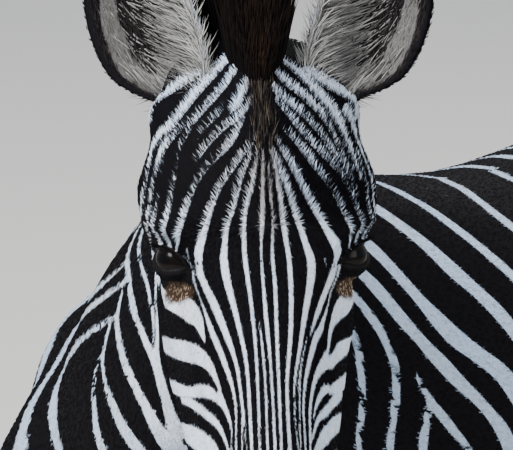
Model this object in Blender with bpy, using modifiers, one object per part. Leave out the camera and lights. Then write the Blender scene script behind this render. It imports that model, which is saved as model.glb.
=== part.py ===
# A standing zebra at life size: a still display model, divided where a person would name its parts.
# Metres, +Z up. The trunk runs along Y and faces -Y, +X is the zebra's left, and the hooves stand on z = 0.
# The neck bends to the zebra's left, so that the head looks out past the left shoulder.

import math

import bmesh
import bpy
import numpy as np
from mathutils import Matrix, Vector

# ---- driving dimensions ----------------------------------------------------------------------------
PLACE = Vector((-0.132, 0.007, 0.0))  # shift that puts the middle of the whole model over the origin
GAP = 0.0003  # clearance between two nodes that touch
BLEND_VOXEL = 0.0065  # grid on which the masses of the body melt into one surface
SOFTEN_TURNS, RELAX_TURNS = 70, 8  # smoothing passes over the trunk alone and over everything
BODY_TRIANGLES = 3700  # of the whole blended body, before it is divided

EYE_MIDDLE = Vector((0.450, -0.700, 1.345))  # the point between the eyes, on the line of the nose
HEAD_YAW = math.radians(51.3)  # how far the face turns to the left of the trunk
HEAD_PITCH = math.radians(19)  # how far the face looks up from level
HEAD_ROLL = math.radians(0)

EYE_RADIUS = 0.0210
EYE_SIDE, EYE_DOWN, EYE_DEEP = 0.0790, -0.011, -0.056  # eyeball's centre in the head's frame

EAR_LENGTH = 0.190
EAR_WALL = 0.005
EAR_SIDE, EAR_DOWN, EAR_DEEP = 0.074, -0.165, -0.052
EAR_LEAN_OUT = {1: math.radians(12), -1: math.radians(7)}  # left and right ear, each its own way
EAR_TURN_OUT = {1: math.radians(8), -1: math.radians(28)}

MANE_HEIGHT = 0.095
MANE_HALF_WIDTH = 0.021

CORONET = 0.068  # height of the hoof's upper rim
KNEE_CUT, HOCK_CUT, LEG_CUT = 0.432, 0.505, 0.640  # levels where the legs are divided
FORE_CUT, HIND_CUT = -0.160, 0.250  # planes that part chest, barrel and haunches

# ---- materials -------------------------------------------------------------------------------------
COAT_PALE = (0.72, 0.72, 0.70, 1)
HORN_GREY = (0.055, 0.050, 0.045, 1)
EYE_BROWN = (0.012, 0.008, 0.006, 1)
HAIR_DARK = (0.045, 0.030, 0.022, 1)


def material(name, colour, roughness):
    made = bpy.data.materials.new(name)
    made.use_nodes = True
    shader = made.node_tree.nodes["Principled BSDF"]
    shader.inputs["Base Color"].default_value = colour
    shader.inputs["Roughness"].default_value = roughness
    return made


# ---- smooth tables and rings -----------------------------------------------------------------------
def smooth_rows(rows, count):
    """Rows of (station, value, ...) read off smoothly at count even stations, by cubic Hermite spans."""
    table = np.array(rows, float)
    at = np.linspace(table[0, 0], table[-1, 0], count)
    slope = np.gradient(table[:, 1:], table[:, 0], axis=0)
    span = np.clip(np.searchsorted(table[:, 0], at, side="right") - 1, 0, len(table) - 2)
    start, end = table[span, 0], table[span + 1, 0]
    step = (end - start)[:, None]
    t = ((at - start) / (end - start))[:, None]
    values = (
        (2 * t**3 - 3 * t**2 + 1) * table[span, 1:]
        + (t**3 - 2 * t**2 + t) * step * slope[span]
        + (-2 * t**3 + 3 * t**2) * table[span + 1, 1:]
        + (t**3 - t**2) * step * slope[span + 1]
    )
    return np.column_stack([at, values])


def closed_curve(corners, count):
    """Points evenly spaced in parameter on a closed Catmull-Rom curve through the corners."""
    corners = np.array(corners, float)
    number = len(corners)
    at = np.arange(count) * number / count
    i = at.astype(int)
    t = (at - i)[:, None]
    before, here = corners[(i - 1) % number], corners[i % number]
    after, beyond = corners[(i + 1) % number], corners[(i + 2) % number]
    return 0.5 * (
        2 * here
        + (after - before) * t
        + (2 * before - 5 * here + 4 * after - beyond) * t**2
        + (3 * here - before - 3 * after + beyond) * t**3
    )


def rounded(angle, power):
    """Cosine and sine of a superellipse of that power; 2 is an ellipse and more is squarer."""
    c, s = math.cos(angle), math.sin(angle)
    bend = 2 / power
    return math.copysign(abs(c) ** bend, c), math.copysign(abs(s) ** bend, s)


def loft(name, rings):
    """A closed mesh object through rings of as many points each, with fans at both ends."""
    bm = bmesh.new()
    loops = [[bm.verts.new(p) for p in ring] for ring in rings]
    number = len(loops[0])
    for lower, upper in zip(loops, loops[1:]):
        for k in range(number):
            n = (k + 1) % number
            bm.faces.new((lower[k], lower[n], upper[n], upper[k]))
    for loop in (loops[0], loops[-1]):
        middle = bm.verts.new(sum((v.co for v in loop), Vector()) / number)
        for k in range(number):
            bm.faces.new((loop[k], loop[(k + 1) % number], middle))
    bmesh.ops.recalc_face_normals(bm, faces=bm.faces)
    return finish_mesh(name, bm)


def finish_mesh(name, bm):
    mesh = bpy.data.meshes.new(name)
    bm.to_mesh(mesh)
    bm.free()
    made = bpy.data.objects.new(name, mesh)
    bpy.context.scene.collection.objects.link(made)
    return made


def mass(name, centre, radii, turn=(0, 0, 0), place=None):
    """An ellipsoid of flesh, turned by Euler degrees, in the body's frame or in that of place."""
    bm = bmesh.new()
    bmesh.ops.create_uvsphere(bm, u_segments=28, v_segments=18, radius=1)
    turned = Matrix.Rotation(math.radians(turn[2]), 4, "Z")
    turned @= Matrix.Rotation(math.radians(turn[1]), 4, "Y")
    turned @= Matrix.Rotation(math.radians(turn[0]), 4, "X")
    at = Matrix.Translation(centre) @ turned @ Matrix.Diagonal((*radii, 1))
    bm.transform((place or Matrix.Identity(4)) @ at)
    return finish_mesh(name, bm)


# ---- the head's own frame: x to its left, u up the face towards the poll, f out of the face -------
def head_frame():
    yaw = Matrix.Rotation(HEAD_YAW, 4, "Z")
    upright = Matrix(((1, 0, 0, 0), (0, 0, -1, 0), (0, 1, 0, 0), (0, 0, 0, 1)))
    pitch = Matrix.Rotation(-HEAD_PITCH, 4, "X")
    roll = Matrix.Rotation(HEAD_ROLL, 4, "Z")
    return Matrix.Translation(EYE_MIDDLE) @ yaw @ pitch @ upright @ roll


HEAD = head_frame()


def on_head(side, down, deep):
    """A point of the head from its side, its way down the face and its height over the face line."""
    return HEAD @ Vector((side, -down, deep))


# Down the face: station, top, shoulder half width and drop, widest half width and its height,
# jaw half width and its height, bottom.
HEAD_ROWS = [
    (-0.225, -0.072, 0.026, 0.018, 0.050, -0.110, 0.030, -0.150, -0.175),
    (-0.200, -0.034, 0.038, 0.016, 0.074, -0.085, 0.052, -0.155, -0.190),
    (-0.160, -0.011, 0.054, 0.016, 0.090, -0.070, 0.066, -0.165, -0.205),
    (-0.110, 0.003, 0.067, 0.018, 0.101, -0.066, 0.074, -0.180, -0.225),
    (-0.065, 0.008, 0.077, 0.021, 0.109, -0.066, 0.076, -0.190, -0.240),
    (-0.028, 0.006, 0.075, 0.023, 0.100, -0.068, 0.074, -0.200, -0.247),
    (0.008, 0.003, 0.062, 0.022, 0.090, -0.092, 0.070, -0.205, -0.246),
    (0.045, -0.001, 0.050, 0.020, 0.0905, -0.112, 0.066, -0.203, -0.238),
    (0.085, -0.004, 0.042, 0.018, 0.087, -0.118, 0.058, -0.190, -0.222),
    (0.130, -0.007, 0.036, 0.017, 0.079, -0.110, 0.050, -0.170, -0.202),
    (0.175, -0.011, 0.032, 0.016, 0.070, -0.094, 0.043, -0.152, -0.184),
    (0.220, -0.015, 0.031, 0.015, 0.063, -0.090, 0.040, -0.141, -0.170),
    (0.255, -0.020, 0.036, 0.015, 0.060, -0.087, 0.040, -0.136, -0.163),
    (0.285, -0.028, 0.041, 0.017, 0.061, -0.085, 0.042, -0.132, -0.158),
    (0.310, -0.041, 0.038, 0.019, 0.056, -0.088, 0.040, -0.128, -0.152),
    (0.330, -0.066, 0.024, 0.014, 0.036, -0.098, 0.026, -0.120, -0.134),
]


# Paired masses of the head in its own axes, for its left side: name, centre, radii, turn.
HEAD_MASSES = [
    ("brow_ridge", (0.083, 0.036, -0.038), (0.029, 0.030, 0.020), (0, 38, 0)),
    ("temple", (0.074, 0.068, -0.070), (0.040, 0.064, 0.042), (0, 0, 0)),
    ("cheek_arch", (0.070, -0.028, -0.085), (0.022, 0.050, 0.016), (0, 0, 10)),
    ("cheek_disc", (0.052, -0.010, -0.165), (0.036, 0.085, 0.070), (-12, 0, 0)),
    ("nostril_rim", (0.038, -0.288, -0.060), (0.020, 0.028, 0.026), (0, 0, -16)),
    ("ear_root", (0.070, 0.146, -0.066), (0.032, 0.030, 0.034), (0, 0, 0)),
]


def head_ring(row, count=48):
    down, top, shoulder, drop, wide, wide_at, jaw, jaw_at, bottom = row
    half = [
        (0, top),
        (shoulder, top - drop),
        (wide, wide_at),
        (jaw, jaw_at),
        (0, bottom),
    ]
    corners = half + [(-x, f) for x, f in half[3:0:-1]]
    return [on_head(x, down, f) for x, f in closed_curve(corners, count)]


def head_masses():
    rows = smooth_rows(HEAD_ROWS, 46)
    made = [loft("skull", [head_ring(r) for r in rows])]
    for side in (1, -1):
        for name, centre, radii, turn in HEAD_MASSES:
            at = Vector((side * centre[0], centre[1], centre[2]))
            made.append(mass(name, at, radii, (turn[0], side * turn[1], side * turn[2]), HEAD))
    made += [
        mass("upper_lip", (0, -0.308, -0.092), (0.044, 0.026, 0.032), (0, 0, 0), HEAD),
        mass("chin", (0, -0.290, -0.136), (0.032, 0.032, 0.020), (0, 0, 0), HEAD),
    ]
    return made


# ---- trunk: sections across Y ----------------------------------------------------------------------
# Station along Y, top, bottom, height of the widest line, half width, squareness.
TRUNK_ROWS = [
    (-0.590, 1.000, 0.850, 0.930, 0.050, 2.0),
    (-0.560, 1.070, 0.785, 0.930, 0.112, 2.0),
    (-0.500, 1.150, 0.725, 0.920, 0.158, 2.1),
    (-0.400, 1.238, 0.684, 0.910, 0.188, 2.1),
    (-0.290, 1.288, 0.668, 0.905, 0.205, 2.1),
    (-0.180, 1.276, 0.662, 0.915, 0.228, 2.1),
    (-0.060, 1.246, 0.658, 0.925, 0.252, 2.15),
    (0.080, 1.228, 0.656, 0.930, 0.266, 2.2),
    (0.210, 1.236, 0.664, 0.940, 0.258, 2.2),
    (0.320, 1.256, 0.690, 0.970, 0.236, 2.15),
    (0.430, 1.276, 0.740, 1.010, 0.218, 2.1),
    (0.530, 1.272, 0.790, 1.020, 0.205, 2.1),
    (0.620, 1.236, 0.835, 1.020, 0.172, 2.0),
    (0.680, 1.180, 0.880, 1.015, 0.122, 2.0),
    (0.712, 1.110, 0.945, 1.020, 0.060, 2.0),
]


def trunk_ring(row, count=48):
    along, top, bottom, wide_at, half_width, power = row
    ring = []
    for k in range(count):
        across, up = rounded(2 * math.pi * k / count, power)
        reach = top - wide_at if up > 0 else wide_at - bottom
        lean = 0.86 if up > 0 else 1.0  # the back is narrower than the belly
        narrowed = half_width * (1 - (1 - lean) * max(up, 0))
        ring.append(Vector((across * narrowed, along, wide_at + reach * up)))
    return ring


def trunk_masses():
    made = [loft("barrel", [trunk_ring(r) for r in smooth_rows(TRUNK_ROWS, 52)])]
    for side in (1, -1):
        made += [
            mass("shoulder_blade", (side * 0.128, -0.345, 0.985), (0.068, 0.110, 0.190), (24, side * -6, 0)),
            mass("shoulder_point", (side * 0.100, -0.480, 0.905), (0.075, 0.090, 0.105), (0, 0, 0)),
            mass("triceps", (side * 0.150, -0.335, 0.850), (0.062, 0.120, 0.105), (-20, 0, 0)),
            mass("croup", (side * 0.085, 0.460, 1.110), (0.105, 0.200, 0.145), (-8, 0, 0)),
            mass("thigh", (side * 0.125, 0.500, 0.940), (0.092, 0.200, 0.190), (0, 0, 0)),
            mass("hip_bone", (side * 0.150, 0.360, 1.130), (0.058, 0.100, 0.075), (0, 0, 0)),
        ]
    made.append(mass("breast", (0, -0.520, 0.850), (0.120, 0.080, 0.120), (0, 0, 0)))
    return made


# ---- legs: level sections, from the body down ------------------------------------------------------
# Height, front edge, rear edge, middle across, half width.
FORELEG_ROWS = [
    (0.052, -0.434, -0.372, 0.110, 0.033),
    (0.075, -0.433, -0.371, 0.110, 0.032),
    (0.105, -0.420, -0.364, 0.110, 0.0265),
    (0.135, -0.412, -0.351, 0.111, 0.028),
    (0.165, -0.411, -0.344, 0.112, 0.031),
    (0.200, -0.406, -0.351, 0.113, 0.028),
    (0.270, -0.405, -0.355, 0.114, 0.0245),
    (0.340, -0.408, -0.353, 0.115, 0.026),
    (0.385, -0.415, -0.347, 0.116, 0.033),
    (0.425, -0.424, -0.347, 0.117, 0.0385),
    (0.460, -0.423, -0.346, 0.118, 0.0375),
    (0.510, -0.420, -0.344, 0.120, 0.037),
    (0.580, -0.427, -0.336, 0.124, 0.044),
    (0.660, -0.440, -0.318, 0.129, 0.052),
    (0.740, -0.458, -0.292, 0.135, 0.060),
    (0.830, -0.480, -0.262, 0.140, 0.066),
    (0.930, -0.480, -0.240, 0.138, 0.060),
    (1.020, -0.430, -0.240, 0.125, 0.045),
]
HINDLEG_ROWS = [
    (0.052, 0.543, 0.607, 0.108, 0.033),
    (0.075, 0.544, 0.608, 0.108, 0.032),
    (0.105, 0.557, 0.613, 0.108, 0.0265),
    (0.135, 0.564, 0.630, 0.109, 0.028),
    (0.165, 0.566, 0.637, 0.110, 0.031),
    (0.200, 0.572, 0.632, 0.110, 0.028),
    (0.270, 0.577, 0.630, 0.111, 0.0245),
    (0.350, 0.578, 0.637, 0.112, 0.025),
    (0.410, 0.572, 0.650, 0.113, 0.029),
    (0.460, 0.556, 0.672, 0.115, 0.0345),
    (0.505, 0.533, 0.682, 0.118, 0.0355),
    (0.560, 0.490, 0.672, 0.122, 0.040),
    (0.630, 0.420, 0.662, 0.128, 0.052),
    (0.700, 0.350, 0.668, 0.134, 0.066),
    (0.780, 0.306, 0.686, 0.138, 0.080),
    (0.870, 0.300, 0.706, 0.136, 0.090),
    (0.970, 0.318, 0.712, 0.130, 0.090),
    (1.080, 0.360, 0.690, 0.120, 0.075),
]
# How far each leg stands ahead of (-) or behind (+) its neutral place at the hoof, and across.
STANCE = {
    "fore_left": (1, FORELEG_ROWS, 0.020, 0.000),
    "fore_right": (-1, FORELEG_ROWS, -0.035, 0.000),
    "hind_left": (1, HINDLEG_ROWS, -0.030, 0.000),
    "hind_right": (-1, HINDLEG_ROWS, 0.045, 0.000),
}
STEP_FROM = 0.80  # a leg starts to swing to its step below this height


def step_shift(height, step):
    """How far a leg has moved along Y at a height, for a step of that length at the ground."""
    low = min(max((STEP_FROM - height) / STEP_FROM, 0), 1)
    return step * low


def leg(name):
    side, table, step, spread = STANCE[name]
    rings = []
    for height, front, rear, middle, half_width in smooth_rows(table, 64):
        shift = step_shift(height, step)
        centre, half_depth = (front + rear) / 2 + shift, (rear - front) / 2
        ring = []
        for k in range(28):
            across, along = rounded(2 * math.pi * k / 28, 2.2)
            x = side * (middle + spread) + across * half_width
            ring.append(Vector((x, centre + along * half_depth, height)))
        rings.append(ring)
    return loft("leg_" + name, rings)


# ---- neck: sections across a curve from the chest to the throat ------------------------------------
NECK_BASE = Vector((0.0, -0.300, 0.980))
NECK_BASE_PULL = Vector((0.020, -0.230, 0.120))
NECK_TOP = on_head(0, -0.088, -0.150)
NECK_TOP_PULL = (HEAD.to_3x3() @ Vector((0, 0.30, 0.95))) * 0.165
# Share of the way, half depth towards the crest, half depth towards the throat, half width.
NECK_ROWS = [
    (0.00, 0.262, 0.230, 0.135),
    (0.18, 0.228, 0.232, 0.130),
    (0.36, 0.182, 0.200, 0.108),
    (0.54, 0.148, 0.165, 0.088),
    (0.70, 0.123, 0.142, 0.077),
    (0.85, 0.106, 0.126, 0.072),
    (1.00, 0.096, 0.110, 0.068),
]


def neck_point(t):
    """Place and heading on the neck's middle line, a cubic Bezier."""
    a, b = NECK_BASE, NECK_BASE + NECK_BASE_PULL
    d, c = NECK_TOP, NECK_TOP - NECK_TOP_PULL
    s = 1 - t
    place = a * s**3 + b * 3 * s * s * t + c * 3 * s * t * t + d * t**3
    heading = (b - a) * s * s + (c - b) * 2 * s * t + (d - c) * t * t
    return place, heading.normalized()


def neck_axes(t):
    """Place, side and crest directions of the neck's section at t. The crest stays upright over the bend."""
    place, heading = neck_point(t)
    up_base, up_top = Vector((0, 0.35, 0.94)), HEAD.to_3x3() @ Vector((0, 0.80, -0.60))
    up = up_base.lerp(up_top, t)
    crest = (up - heading * up.dot(heading)).normalized()
    return place, crest.cross(heading).normalized(), crest


def neck():
    rings = []
    for t, crest_depth, throat_depth, half_width in smooth_rows(NECK_ROWS, 30):
        place, side, crest = neck_axes(t)
        ring = []
        for k in range(44):
            across, up = rounded(2 * math.pi * k / 44, 2.05)
            reach = crest_depth if up > 0 else throat_depth
            slim = 1 - 0.42 * max(up, 0) ** 1.5  # the crest is narrower than the throat
            ring.append(place + side * across * half_width * slim + crest * up * reach)
        rings.append(ring)
    return loft("neck_mass", rings)


def crest_point(t, over=0.0):
    """A point over the neck's crest, continued to the forehead for t above 1."""
    rows = np.array(NECK_ROWS)
    depth = float(np.interp(t, rows[:, 0], rows[:, 1]))
    place, side, crest = neck_axes(t)
    return place + crest * (depth + over), side, crest


# ---- hair: mane, forelock, tail --------------------------------------------------------------------
def hair_crest(name, stops, depth_in, narrowing):
    """A wall of standing hair through stops of (foot, side, up, height, half width)."""
    rings = []
    for foot, side, up, height, half_width in stops:
        ring = []
        for k in range(12):
            across, along = rounded(2 * math.pi * k / 12, 2.6)
            taper = 1 - narrowing * (along + 1) / 2
            lift = (height + depth_in) * (along + 1) / 2 - depth_in
            ring.append(foot + side * across * half_width * taper + up * lift)
        rings.append(ring)
    return loft(name, rings)


def mane_stops():
    """From just behind the poll to the withers, highest over the middle of the neck."""
    stops = []
    for k in range(15):
        t = 1.15 - k / 14 * 1.10
        place, side, crest = crest_point(t)
        swell = math.sin(math.pi * min(max((1.10 - t) / 1.16, 0), 1)) ** 0.5
        height = MANE_HEIGHT * (0.35 + 0.65 * swell) if t < 0.93 else MANE_HEIGHT * 0.80
        stops.append((place, side, crest, height, MANE_HALF_WIDTH * (0.75 + 0.25 * swell)))
    return stops


def forelock_stops():
    """Between the ears, from the poll forward to the forehead, where it lies down to a point."""
    to_world = HEAD.to_3x3()
    side = to_world @ Vector((1, 0, 0))
    rows = [
        # down the face, foot's depth, lean of the hair up the head, height, half width
        (-0.232, -0.112, 0.96, 0.092, 0.024),
        (-0.226, -0.084, 0.95, 0.100, 0.034),
        (-0.214, -0.060, 0.94, 0.104, 0.040),
        (-0.200, -0.038, 0.90, 0.092, 0.042),
        (-0.188, -0.027, 0.84, 0.066, 0.034),
        (-0.178, -0.020, 0.74, 0.036, 0.022),
        (-0.169, -0.015, 0.60, 0.012, 0.012),
    ]
    stops = []
    for down, deep, lean, height, half_width in rows:
        up = (to_world @ Vector((0, lean, math.sqrt(1 - lean * lean)))).normalized()
        stops.append((on_head(0, down, deep), side, up, height, half_width))
    return stops


TAIL_ROOT = Vector((0.0, 0.672, 1.150))
# Share of the way down, distance behind the root, drop, half width, half depth.
TAIL_ROWS = [
    (0.00, -0.030, 0.005, 0.032, 0.028),
    (0.08, 0.022, -0.010, 0.029, 0.025),
    (0.20, 0.058, -0.080, 0.022, 0.019),
    (0.40, 0.066, -0.210, 0.017, 0.015),
    (0.55, 0.064, -0.310, 0.018, 0.016),
    (0.66, 0.062, -0.390, 0.028, 0.023),
    (0.80, 0.060, -0.490, 0.036, 0.028),
    (0.92, 0.060, -0.580, 0.026, 0.020),
    (1.00, 0.062, -0.640, 0.006, 0.006),
]
TUFT_FROM = 0.55


def tail(name, first, last):
    rings = []
    for share, back, drop, half_width, half_depth in smooth_rows(TAIL_ROWS, 21):
        if not first - 1e-6 <= share <= last + 1e-6:
            continue
        level = min(max((share - 0.03) / 0.16, 0), 1)  # the root leaves level, the rest hangs
        across_axis = Vector((0, 0, 1)).lerp(Vector((0, 1, 0)), level).normalized()
        ring = []
        for k in range(12):
            across, along = rounded(2 * math.pi * k / 12, 2.0)
            centre = TAIL_ROOT + Vector((0, back, drop))
            ring.append(centre + Vector((across * half_width, 0, 0)) + across_axis * along * half_depth)
        rings.append(ring)
    return loft(name, rings)


# ---- ears, eyes, hooves ----------------------------------------------------------------------------
# Height above the root, half width, depth of the cup, how far its middle lies to the outside.
EAR_ROWS = [
    (-0.016, 0.018, 0.022, -0.002),
    (0.000, 0.027, 0.036, 0.000),
    (0.012, 0.039, 0.048, 0.007),
    (0.030, 0.050, 0.050, 0.016),
    (0.055, 0.0545, 0.046, 0.022),
    (0.085, 0.0555, 0.039, 0.026),
    (0.115, 0.052, 0.030, 0.027),
    (0.145, 0.042, 0.020, 0.025),
    (0.168, 0.030, 0.012, 0.022),
    (0.184, 0.016, 0.006, 0.019),
    (0.190, 0.006, 0.003, 0.018),
]


def ear_frame(side):
    """Ear's axes: x across, y along its length, z out of its cup."""
    lean = Matrix.Rotation(-side * EAR_LEAN_OUT[side], 4, "Z")
    turned = lean @ Matrix.Rotation(side * EAR_TURN_OUT[side], 4, "Y")
    return HEAD @ Matrix.Translation((side * EAR_SIDE, -EAR_DOWN, EAR_DEEP)) @ turned


def ear(name, side):
    place = ear_frame(side)
    rings = []
    for height, half_width, cup, outward in smooth_rows(EAR_ROWS, 12):
        wall = min(EAR_WALL, half_width * 0.5)
        ring = []
        for layer, turn in ((0.0, 1), (1.0, -1)):
            for k in range(9):
                along = turn * (k / 4 - 1)
                across = along * (half_width - wall * layer) + outward
                depth = -cup * (1 - along * along) + wall * layer * (1.2 - abs(along))
                ring.append(place @ Vector((side * across, height, depth)))
        rings.append(ring)
    return loft(name, rings)


def eye(name, side):
    bm = bmesh.new()
    bmesh.ops.create_uvsphere(bm, u_segments=14, v_segments=8, radius=EYE_RADIUS)
    bm.transform(Matrix.Translation(on_head(side * EYE_SIDE, EYE_DOWN, EYE_DEEP)))
    return finish_mesh(name, bm)


def hoof(name):
    """A hoof stands on its flat sole, upright behind and raked in front, with a rounded toe."""
    side, table, step, spread = STANCE[name]
    fore = "fore" in name
    rim = (np.array(table[0][1:3]) + np.array(table[1][1:3])) / 2
    middle = side * (table[0][3] + spread)
    sole = (rim[0] - 0.034, rim[1] + 0.003)
    levels = [
        # height, front, rear, half width
        (0.0, sole[0], sole[1], 0.043 if fore else 0.040),
        (0.004, sole[0] - 0.001, sole[1] + 0.001, 0.044 if fore else 0.041),
        (0.035, sole[0] + 0.015, sole[1], 0.039 if fore else 0.037),
        (CORONET - GAP - 0.006, rim[0] - 0.001, rim[1] + 0.001, 0.0350),
        (CORONET - GAP, rim[0] + 0.001, rim[1] - 0.001, 0.0325),
    ]
    rings = []
    for height, front, rear, half_width in levels:
        shift = step_shift(0, step)
        ring = []
        for k in range(16):
            turn = 2 * math.pi * k / 16
            across, along = rounded(turn, 2.3 if math.sin(turn) < 0 else 3.0)
            y = (front + rear) / 2 + shift + along * (rear - front) / 2
            ring.append(Vector((middle + across * half_width, y, height)))
        rings.append(ring)
    return loft("hoof_" + name, rings)


# ---- joining and dividing --------------------------------------------------------------------------
def evaluated_copy(name, source):
    graph = bpy.context.evaluated_depsgraph_get()
    mesh = bpy.data.meshes.new_from_object(source.evaluated_get(graph))
    made = bpy.data.objects.new(name, mesh)
    bpy.context.scene.collection.objects.link(made)
    made.matrix_world = source.matrix_world
    return made


def remove(obj):
    bpy.data.objects.remove(obj)


def blended_body(masses):
    """All masses melted into one closed surface, with soft hollows where neck, trunk and legs meet."""
    bm = bmesh.new()
    for source in masses:
        bm.from_mesh(source.data)
        remove(source)
    whole = finish_mesh("body", bm)
    remesh = whole.modifiers.new("melt", "REMESH")
    remesh.mode = "VOXEL"
    remesh.voxel_size = BLEND_VOXEL
    body = evaluated_copy("melted_body", whole)
    remove(whole)
    group = body.vertex_groups.new(name="trunk")
    point, normal = throat_plane()
    for v in body.data.vertices:
        behind = min(max(((point - v.co).dot(normal) - 0.01) / 0.12, 0.0), 1.0)
        above = min(max((v.co.z - 0.60) / 0.14, 0.0), 1.0)
        group.add([v.index], behind * above, "REPLACE")
    for name, turns in (("soften", SOFTEN_TURNS), ("relax", RELAX_TURNS)):
        smooth = body.modifiers.new(name, "SMOOTH")
        smooth.factor, smooth.iterations = 0.5, turns
        if name == "soften":
            smooth.vertex_group = "trunk"
    soft = evaluated_copy("soft_body", body)
    remove(body)
    return soft


def throat_plane():
    """Where the head ends: a point and the direction towards the face."""
    return on_head(0, -0.118, -0.172), (HEAD.to_3x3() @ Vector((0, -0.55, 0.835))).normalized()


def head_wedge(growth):
    """The space of the head: ahead of a plane from poll to throat, and in front of one under the jaw."""
    # Each line has a point and an inward normal, as (up the face, out of the face).
    back_line = (np.array((0.118, -0.172)), np.array((-0.55, 0.835)))
    jaw_line = (np.array((-0.045, -0.262)), np.array((0.215, 0.977)))
    lines = [(p - n / np.linalg.norm(n) * growth, n) for p, n in (back_line, jaw_line)]
    corner = np.linalg.solve([n for p, n in lines], [n @ p for p, n in lines])
    above = corner + np.array((0.835, 0.55)) * 0.7
    below = corner + np.array((-0.977, 0.215)) * 0.7
    outline = (above, corner, below, below + np.array((0.0, 0.9)), above + np.array((0.0, 0.9)))
    return loft("cutter", [[HEAD @ Vector((x, *p)) for p in outline] for x in (-0.3, 0.3)])


def thinned_body(body):
    """The body with few triangles, and more of them where the head is."""
    group = body.vertex_groups.new(name="plain")
    for v in body.data.vertices:
        reach = (v.co - EYE_MIDDLE).length
        group.add([v.index], min(max((reach - 0.20) / 0.25, 0.0), 1.0) * 0.9 + 0.1, "REPLACE")
    body.data.calc_loop_triangles()
    thin = body.modifiers.new("thin", "DECIMATE")
    thin.ratio = BODY_TRIANGLES / len(body.data.loop_triangles)
    thin.vertex_group = "plain"
    thin.vertex_group_factor = 0.0012
    thin.use_collapse_triangulate = True
    made = evaluated_copy("thin_body", body)
    remove(body)
    return made


def boolean(obj, other, operation):
    cut = obj.modifiers.new("cut", "BOOLEAN")
    cut.object, cut.operation, cut.solver = other, operation, "EXACT"
    return cut


def half_space(name, point, normal, reach=3.0):
    """A big box whose one face lies at the point and whose body lies along the normal."""
    bm = bmesh.new()
    bmesh.ops.create_cube(bm, size=1)
    turn = Vector(normal).to_track_quat("Z", "Y").to_matrix().to_4x4()
    stretched = Matrix.Translation((0, 0, reach / 2)) @ Matrix.Scale(reach, 4)
    bm.transform(Matrix.Translation(point) @ turn @ stretched)
    return finish_mesh(name, bm)


def region(name, low, high):
    """A box between two corners."""
    bm = bmesh.new()
    bmesh.ops.create_cube(bm, size=1)
    low, high = Vector(low), Vector(high)
    bm.transform(Matrix.Translation((low + high) / 2) @ Matrix.Diagonal((*(high - low), 1)))
    return finish_mesh(name, bm)


def part_from(body, name, cutters):
    """What the cutters leave of the body, each an (object, operation)."""
    work = bpy.data.objects.new(name + "_work", body.data)
    bpy.context.scene.collection.objects.link(work)
    for cutter, operation in cutters:
        boolean(work, cutter, operation)
    made = evaluated_copy(name, work)
    remove(work)
    return made


def divided(body):
    """The body's nodes, parted by planes GAP apart."""
    half = GAP / 2
    muzzle_normal = HEAD.to_3x3() @ Vector((0, -1, 0.0))
    muzzle_point = on_head(0, 0.205, 0)
    neck_normal = Vector((0.12, -0.70, 0.70))
    neck_point_low = Vector((0, -0.420, 1.120))
    muzzle_middle = on_head(0, 0.28, -0.09)
    reach = Vector((0.14, 0.14, 0.14))  # clears the muzzle on every side and stays off the chest

    def side_of(point, normal, ahead):
        sign = 1 if ahead else -1
        normal = normal.normalized()
        return half_space("cutter", point + normal * half * sign, normal * sign)

    made, cutters = [], []

    def take(name, boxes, without=()):
        cutters.extend((*boxes, *without))
        steps = [(b, "INTERSECT") for b in boxes] + [(b, "DIFFERENCE") for b in without]
        made.append(part_from(body, name, steps))

    low, high = LEG_CUT - half, LEG_CUT + half
    take("head", [head_wedge(-half), side_of(muzzle_point, muzzle_normal, False)])
    near_muzzle = region("cutter", muzzle_middle - reach, muzzle_middle + reach)
    take("muzzle", [side_of(muzzle_point, muzzle_normal, True), near_muzzle])
    above = region("cutter", (-1, -2, high), (1, 2, 2))
    take("neck", [side_of(neck_point_low, neck_normal, True), above], [head_wedge(half)])
    behind_neck = side_of(neck_point_low, neck_normal, False)
    take("chest", [behind_neck, region("cutter", (-1, -2, high), (1, FORE_CUT - half, 2))])
    take("barrel", [region("cutter", (-1, FORE_CUT + half, high), (1, HIND_CUT - half, 2))])
    take("haunches", [region("cutter", (-1, HIND_CUT + half, high), (1, 2, 2))])
    for name, (side, table, step, spread) in STANCE.items():
        across = (0.001, 0.5) if side > 0 else (-0.5, -0.001)
        along = (-1.2, 0.0) if "fore" in name else (0.0, 1.2)
        middle_cut = KNEE_CUT if "fore" in name else HOCK_CUT
        upper = ("forearm_" if "fore" in name else "gaskin_") + name.split("_")[1]
        spans = ((upper, middle_cut + half, low), ("cannon_" + name, CORONET, middle_cut - half))
        for node, bottom, top in spans:
            take(node, [region("cutter", (across[0], along[0], bottom), (across[1], along[1], top))])
    for cutter in cutters:
        remove(cutter)
    return made


def swollen(body):
    """The body a clearance larger, to cut what rests on it."""
    made = bpy.data.objects.new("swollen_body", body.data.copy())
    bpy.context.scene.collection.objects.link(made)
    grow = made.modifiers.new("grow", "DISPLACE")
    grow.strength, grow.mid_level = GAP * 2, 0
    fat = evaluated_copy("swollen", made)
    remove(made)
    return fat


def cleared(obj, cutter):
    """The object without what it shares with the cutter, as a plain mesh."""
    boolean(obj, cutter, "DIFFERENCE")
    name = obj.name
    obj.name = name + "_work"
    made = evaluated_copy(name, obj)
    remove(obj)
    keep_largest(made)
    return made


def keep_largest(obj):
    """Drops the crumbs a cut may leave, such as the buried end of a tuft."""
    bm = bmesh.new()
    bm.from_mesh(obj.data)
    left, shells = set(bm.verts), []
    while left:
        shell, edge = set(), [left.pop()]
        while edge:
            v = edge.pop()
            shell.add(v)
            for e in v.link_edges:
                other = e.other_vert(v)
                if other in left:
                    left.remove(other)
                    edge.append(other)
        shells.append(shell)
    shells.sort(key=len)
    for shell in shells[:-1]:
        bmesh.ops.delete(bm, geom=list(shell), context="VERTS")
    bm.to_mesh(obj.data)
    bm.free()


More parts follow.
